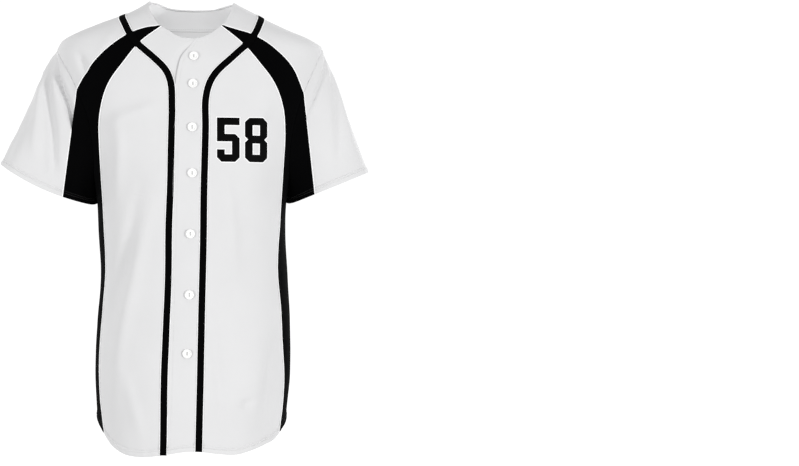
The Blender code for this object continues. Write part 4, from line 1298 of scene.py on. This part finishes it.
def off_the_braid(path):
    middle = lower[:, lower.shape[1] // 2]
    fine = resample(path, max(len(path), int(lengths(path)[-1])))
    gap = np.array([np.linalg.norm(middle - point, axis=1).min() for point in fine])
    return pieces_kept(fine, gap > TAPE_WIDTH / 2 + 0.5)


cord_paths = []
for side in SIDES:
    inner, outer = insets[side]
    cord_paths += off_the_braid(from_skin(inner))
    cord_paths += off_the_braid(from_skin(outer[:YOKE_ROWS + 1]))
    cord_paths.append(from_skin(side_seam(side)))
    cord_paths += [along_seam("sleeve_" + side, column) for column in (0, -1)]
    cord_paths.append(from_skin(armhole(side, False, np.linspace(TURN_AT_GUSSET_TIP, TURN_AT_SIDE_SEAM, 40))))
seam_cords = cord("seam_cords", cord_paths, CORD_RADIUS, WHITE_CORD)

braid_side = unit(lower[:, -1] - lower[:, 0])
edge_paths = []
for column, sign in ((0, -1), (-1, 1)):
    edge_paths += off_the_insets(lower[:, column] + braid_way * BRAID_CORD_LIFT + braid_side * sign * BRAID_CORD_OUT)
braid_cords = cord("braid_cords", edge_paths, BRAID_CORD_RADIUS, WHITE_CORD)

# %% [markdown]
# ## The strip inside the neck
#
# Behind the neck a facing covers the raw seam. It shows through the neck opening, with its stitched lower edge.

# %% The neck facing
FACING_LENGTH, FACING_DEPTH, FACING_WALL, FACING_GAP = 250, 34, 0.9, 0.75
FACING_START, FACING_TURN = 6, 168  # degrees round the back of the neck


def facing_grid():
    across, down = shares(FACING_LENGTH), shares(FACING_DEPTH, step=3.0)
    angle = FACING_START + FACING_TURN * across
    share = np.sin(np.radians(angle))
    top = neck_back(angle) - 1.5
    level = top - down[:, None] * FACING_DEPTH * (0.45 + 0.55 * share)
    skin = np.stack([np.broadcast_to(angle, level.shape), level], axis=-1)
    way = body_normal(skin)
    return cloth(skin) - way * (CLOTH + FACING_GAP), way


facing_outer, facing_way = facing_grid()
from_top = steps_along(facing_outer, 0)
facing_wall = FACING_WALL + seam_relief(from_top[-1:] - from_top, 0)
facing_inner = facing_outer - facing_way * facing_wall[..., None]
facing = sheet_mesh("neck_strip", facing_outer, facing_inner, WHITE_KNIT)
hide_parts("neck_facing")

# %% [markdown]
# ## Buttons
#
# Seven dished buttons of pearly resin. The outline of one half is turned round an axis, and the two holes are cut
# through it. Thread crosses from hole to hole.

# %% One button, turned and pierced
BUTTONS = [(3, -77.4), (1.5, -124.6), (0.3, -198.2), (0.3, -274.7), (-2.8, -375.8), (-4.5, -477.6), (-8.2, -575.4)]
BUTTON_PROFILE = [(6.9, 0), (7.5, 0.25), (7.8, 0.8), (7.8, 1.6), (7.6, 2.3), (7.1, 2.75), (6.5, 2.85), (5.9, 2.6),
                  (5.4, 2.05), (4.8, 1.5), (4.2, 1.3), (3.4, 1.3)]
HOLE_RADIUS, HOLE_SPREAD = 0.95, 1.9
AROUND, AROUND_HOLE = 48, 20  # corners of each circle


def circle(shape, radius, level, count, middle=0.0):
    turns = np.linspace(0, 2 * np.pi, count, endpoint=False)
    return [shape.verts.new((radius * math.cos(t), middle + radius * math.sin(t), level)) for t in turns]


def band(shape, first, second):
    """Faces between two circles of corners."""
    for i in range(len(first)):
        j = (i + 1) % len(first)
        shape.faces.new((first[i], first[j], second[j], second[i]))


def pierced_disc(shape, outline, level):
    """A flat disc inside an outline, with the two holes left open."""
    holes = [circle(shape, HOLE_RADIUS, level, AROUND_HOLE, sign * HOLE_SPREAD) for sign in (-1, 1)]
    edges = []
    for loop in (outline, *holes):
        for first, second in zip(loop, loop[1:] + loop[:1]):
            edges.append(shape.edges.get((first, second)) or shape.edges.new((first, second)))
    bmesh.ops.triangle_fill(shape, edges=edges, use_beauty=True)
    return holes


def button_shape():
    shape = bmesh.new()
    rings = [circle(shape, radius, level, AROUND) for radius, level in BUTTON_PROFILE]
    for first, second in zip(rings, rings[1:]):
        band(shape, first, second)
    low = pierced_disc(shape, rings[0], 0.0)
    high = pierced_disc(shape, rings[-1], BUTTON_PROFILE[-1][1])
    for first, second in zip(low, high):
        band(shape, second, first)
    turn_outwards(shape)
    return shape


# %% [markdown]
# Each button is turned to lie on the cloth. It keeps its own piece, as each has its own solid.

# %% Sewing the buttons on
BUTTON_SEAT = 0.45
THREAD_RADIUS, THREAD_PLACES = 0.21, (-0.35, 0, 0.35)  # three threads side by side
THREAD_BAR = [(-1.9, 0.3), (-1.9, 1.7), (-1.4, 2.25), (0, 2.45), (1.4, 2.25), (1.9, 1.7), (1.9, 0.3)]  # y, z


def seat(points, tree):
    skin = on_front(points)
    plain, way = body_plain(skin), body_normal(skin)
    return plain + way * cloth_height(tree, plain, way)[:, None], way


thread_paths = []
for number, (place, way) in enumerate(zip(*seat(BUTTONS, body_tree)), 1):
    shape = button_shape()
    turn = Vector(way).to_track_quat("Z", "Y").to_matrix()
    base = Vector(place + way * BUTTON_SEAT)
    for vertex in shape.verts:
        vertex.co = (turn @ vertex.co + base) * MM
    button = piece_from(shape, f"front_button_{number}", BUTTON_RESIN)
    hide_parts(f"button_{number}")
    for shift in THREAD_PLACES:
        thread_paths.append([np.array(turn @ Vector((shift, y, z)) + base) for y, z in THREAD_BAR])
button_thread = cord("button_thread", thread_paths, THREAD_RADIUS, BUTTON_THREAD)

# %% [markdown]
# ## Stitch rows
#
# Two rows of stitches run along each hem. Single rows run round the neck, beside the edge of the front, and
# along the strip inside the back of the neck, just under its seam.

# %% Rows of stitches
HEM_ROWS = (HEM_DEPTH, SECOND_ROW)
STRIP_ROWS, STRIP_RADIUS = (0.6, 5.6), 0.45  # the strip's edge and its stitches, from its lower edge up


def row_at(grid, way, distance, axis=0, end=False, lift=0.12):
    """A line across a grid at a distance from one of its edges."""
    if axis == 1:
        grid, way = grid.transpose(1, 0, 2), way.transpose(1, 0, 2)
    if end:
        grid, way = grid[::-1], way[::-1]
    travelled, lifted = steps_along(grid, 0), grid + way * lift
    return np.array([columns_at([distance], travelled[:, column], lifted[:, column])[0]
                     for column in range(grid.shape[1]) if travelled[-1, column] >= distance])


def rows_of(names, depths, end):
    return [row_at(grids[name], ways[name], depth, end=end) for depth in depths for name in names]


white_rows = rows_of(("back", "front_right", "front_left", "sleeve_right", "sleeve_left"), HEM_ROWS, True)
white_rows += rows_of(("back", "front_right", "front_left", "yoke_right", "yoke_left"), (EDGE_ROW,), False)
white_rows.append(row_at(grids["front_left"], ways["front_left"], EDGE_ROW, axis=1))
hem_stitches = stitches("white_stitches", white_rows, WHITE_THREAD)
black_rows = rows_of(("inset_right", "inset_left", "gusset_right", "gusset_left"), HEM_ROWS, True)
black_stitches = stitches("black_stitches", black_rows, BLACK_THREAD)

strip_rows = [row_at(facing_inner, -facing_way, up, end=True, lift=0.1)[9:-9] for up in STRIP_ROWS]
strip_seam = cord("strip_seam", strip_rows[:1], STRIP_RADIUS, GREY_THREAD)
strip_stitches = stitches("strip_stitches", strip_rows[1:], GREY_THREAD)

# %% [markdown]
# ## Numbers
#
# Plain block figures of black film with a thin white border, one large pair on the back and one small pair on the
# chest. Each figure is a closed outline with chamfered corners on a grid of units, and its counters are holes.

# %% Outlines of the figures
# outline and holes on a grid 10 wide and 20 high
FIGURES = {
    "5": [[(0, 20), (10, 20), (10, 16.6), (3.4, 16.6), (3.4, 12.6), (8, 12.6), (10, 10.6), (10, 2), (8, 0), (2, 0),
           (0, 2), (0, 5.6), (3.4, 5.6), (3.4, 3.4), (6.6, 3.4), (6.6, 9.2), (0, 9.2)]],
    "8": [[(2, 20), (8, 20), (10, 18), (10, 11.6), (8.6, 10.2), (10, 8.8), (10, 2), (8, 0), (2, 0), (0, 2), (0, 8.8),
           (1.4, 10.2), (0, 11.6), (0, 18)],
          [(3.4, 16.6), (3.4, 12), (6.6, 12), (6.6, 16.6)], [(3.4, 8.4), (3.4, 3.4), (6.6, 3.4), (6.6, 8.4)]],
}


def grown(loop, by):
    """A loop moved outwards by a distance, corner by corner. Holes run the other way round, so they shrink."""
    loop = np.asarray(loop, float)
    before, after = unit(loop - np.roll(loop, 1, axis=0)), unit(np.roll(loop, -1, axis=0) - loop)
    normal_before = np.stack([before[:, 1], -before[:, 0]], axis=1)
    normal_after = np.stack([after[:, 1], -after[:, 0]], axis=1)
    middle = unit(normal_before + normal_after)
    reach = by / np.maximum((middle * normal_after).sum(axis=1, keepdims=True), 0.3)
    return loop + middle * reach


def turned_round(loop, clockwise):
    loop = np.asarray(loop, float)
    x, y = loop.T
    signed = (x * np.roll(y, -1) - np.roll(x, -1) * y).sum()
    return loop if (signed < 0) == clockwise else loop[::-1]


# %% [markdown]
# The outlines are filled with a fine grid of triangles, so the film can follow every fold of the cloth beneath it.

# %% Figures laid on the cloth
NUMBER = "58"
FILM_WALL = 0.0003


def filled(loops, step):
    corners, edges = [], []
    for loop in loops:
        first = len(corners)
        for a, b in zip(loop, np.roll(loop, -1, axis=0)):
            count = max(1, int(np.linalg.norm(b - a) / step))
            corners += [tuple(a + (b - a) * i / count) for i in range(count)]
        last = len(corners) - 1
        edges += [(i, i + 1) for i in range(first, last)] + [(last, first)]
    every = np.concatenate(loops)
    low, high = every.min(axis=0), every.max(axis=0)
    xs, ys = np.arange(low[0] + step / 2, high[0], step), np.arange(low[1] + step / 2, high[1], step)
    grid = np.stack(np.meshgrid(xs, ys), axis=-1).reshape(-1, 2)
    corners += [tuple(p) for p in grid[inside(grid, loops)]]
    points, _, faces, *_ = delaunay_2d_cdt([Vector(c) for c in corners], edges, [], 0, 1e-5)
    points = np.array(points)
    centre = np.array([points[list(face)].mean(axis=0) for face in faces])
    return points, [face for face, keep in zip(faces, inside(centre, loops)) if keep]


def laid_figures(name, text, centre, height, width, gap, step, border, lift, back, finish):
    """Figures in a row, seen from outside, put on the cloth with this lift."""
    tree = surface_tree(["back"] if back else ["front_left"])
    shape = bmesh.new()
    total = len(text) * width + (len(text) - 1) * gap
    for place, figure in enumerate(text):
        loops = []
        for row, loop in enumerate(FIGURES[figure]):
            loop = turned_round(np.array(loop) * (width / 10, height / 20), clockwise=row > 0)
            loops.append(grown(loop, border) if border else loop)
        points, faces = filled(loops, step)
        across = points[:, 0] - total / 2 + place * (width + gap)
        x = centre[0] + (-across if back else across)
        z = centre[1] + points[:, 1] - height / 2
        way_in = Vector((0, -1 if back else 1, 0))
        verts = []
        for px, pz in zip(x, z):
            hit, normal, *_ = tree.ray_cast(Vector((px * MM, -way_in.y * 0.3, pz * MM)), way_in)
            if normal.dot(way_in) > 0:
                normal = -normal
            verts.append(shape.verts.new(hit + normal * lift * MM))
        for face in faces:
            try:
                shape.faces.new([verts[i] for i in face])
            except ValueError:
                pass
    bmesh.ops.recalc_face_normals(shape, faces=shape.faces)
    outward = sum(face.normal.y for face in shape.faces) * (1 if back else -1)
    if outward < 0:
        bmesh.ops.reverse_faces(shape, faces=shape.faces)
    made = piece_from(shape, name, finish)
    wall = made.modifiers.new("wall", "SOLIDIFY")
    wall.thickness, wall.offset = FILM_WALL, -1
    return made


# centre, height, width, gap, step of the filling, share of the border, whether behind
PLACES = {"back": ((0, -226), 182, 84, 18, 4.0, 1.0, True), "chest": ((84, -219), 74, 38, 9, 2.6, 0.7, False)}
for layer, border, lift, finish in (("border", 2.2, 0.25, WHITE_FILM), ("face", 0, 0.5, BLACK_FILM)):
    for place, (centre, height, width, gap, step, share, back) in PLACES.items():
        laid_figures(f"{place}_number_{layer}", NUMBER, centre, height, width, gap, step,
                                    border * share, lift, back, finish)

# %% [markdown]
# ## Floor, light and camera
#
# The jersey is shown at shoulder height over a pale floor, in even studio light. A key light from the right of the
# picture draws the folds, a weaker one fills in from the left, and a second pair does the same for the back. The
# camera stands straight in front.

# %% The studio
FLOOR_LEVEL, FLOOR_HALF = -1.45, 30
floor_mesh = bpy.data.meshes.new("floor")
corners = [(x * FLOOR_HALF, y * FLOOR_HALF, FLOOR_LEVEL) for x, y in ((-1, -1), (1, -1), (1, 1), (-1, 1))]
floor_mesh.from_pydata(corners, [], [(0, 1, 2, 3)])
floor = put("floor", floor_mesh)
paper, paper_tree, paper_shader = new_material("floor_paper", 0.96, 0.9)
feed(paper_tree, paper_shader, Emission_Color=rgba(1.0), Emission_Strength=0.5)
floor_mesh.materials.append(paper)
floor.visible_diffuse = False


def studio_world(seen, shed):
    """A white surround that sheds less light on the cloth than it shows."""
    world = bpy.data.worlds.new("studio")
    world.use_nodes = True
    tree = world.node_tree
    ray, mix = tree.nodes.new("ShaderNodeLightPath"), tree.nodes.new("ShaderNodeMixShader")
    tree.links.new(ray.outputs["Is Camera Ray"], mix.inputs[0])
    for socket, strength in ((1, shed), (2, seen)):
        glow = feed(tree, tree.nodes.new("ShaderNodeBackground"), Color=rgba(1.0), Strength=strength)
        tree.links.new(glow.outputs[0], mix.inputs[socket])
    feed(tree, tree.nodes["World Output"], Surface=mix.outputs[0])
    return world


bpy.context.scene.world = studio_world(1.08, 0.68)


def area_light(name, place, size, power, aim=(0, 0, -0.37)):
    data = bpy.data.lights.new(name, "AREA")
    data.shape, data.size, data.energy = "DISK", size, power
    made = put(name, data)
    made.location = place
    made.rotation_euler = (Vector(aim) - Vector(place)).to_track_quat("-Z", "Y").to_euler()
    made.visible_camera = False


area_light("key", (2.9, -3.0, -0.62), 0.8, 87)
area_light("fill", (-2.2, -2.0, -0.5), 1.0, 32)
area_light("back_key", (1.8, 2.0, 0.5), 0.6, 37)
area_light("back_fill", (-2.2, 2.0, 0.1), 1.2, 21)
area_light("back_top", (-0.6, 1.3, 1.7), 0.8, 5)
area_light("top", (-0.3, -0.7, 2.0), 1.0, 6)
area_light("inside_the_neck", (0, -0.035, -0.07), 0.08, 0.17, (0, 0.09, 0.015))
bpy.context.scene.view_settings.view_transform = "Standard"

# %% [markdown]
# The lens is worked out from the picture: 799 by 466 pixels, 1.76 mm to a pixel at the jersey. The small shift
# puts the jersey where it stands in the picture, left of the middle.

# %% The camera
WIDE, HIGH, SCALE = 799, 466, 1.76
MIDDLE_PIXEL, SHOULDER_PIXEL = 192, 20  # where x = 0 and z = 0 stand in the picture
DISTANCE, EYE = 2.4, -0.37
SENSOR = 36
view = bpy.data.cameras.new("camera")
view.sensor_width = SENSOR
view.lens = SENSOR * DISTANCE / (WIDE * SCALE * MM)
view.shift_x = (WIDE / 2 - MIDDLE_PIXEL) / WIDE
view.shift_y = (SHOULDER_PIXEL - EYE / (SCALE * MM) - HIGH / 2) / WIDE
camera = put("camera", view)
camera.location = (0, -DISTANCE, EYE)
camera.rotation_euler = (math.pi / 2, 0, 0)
bpy.context.scene.camera = camera
print(f"lens {view.lens:.1f} mm")
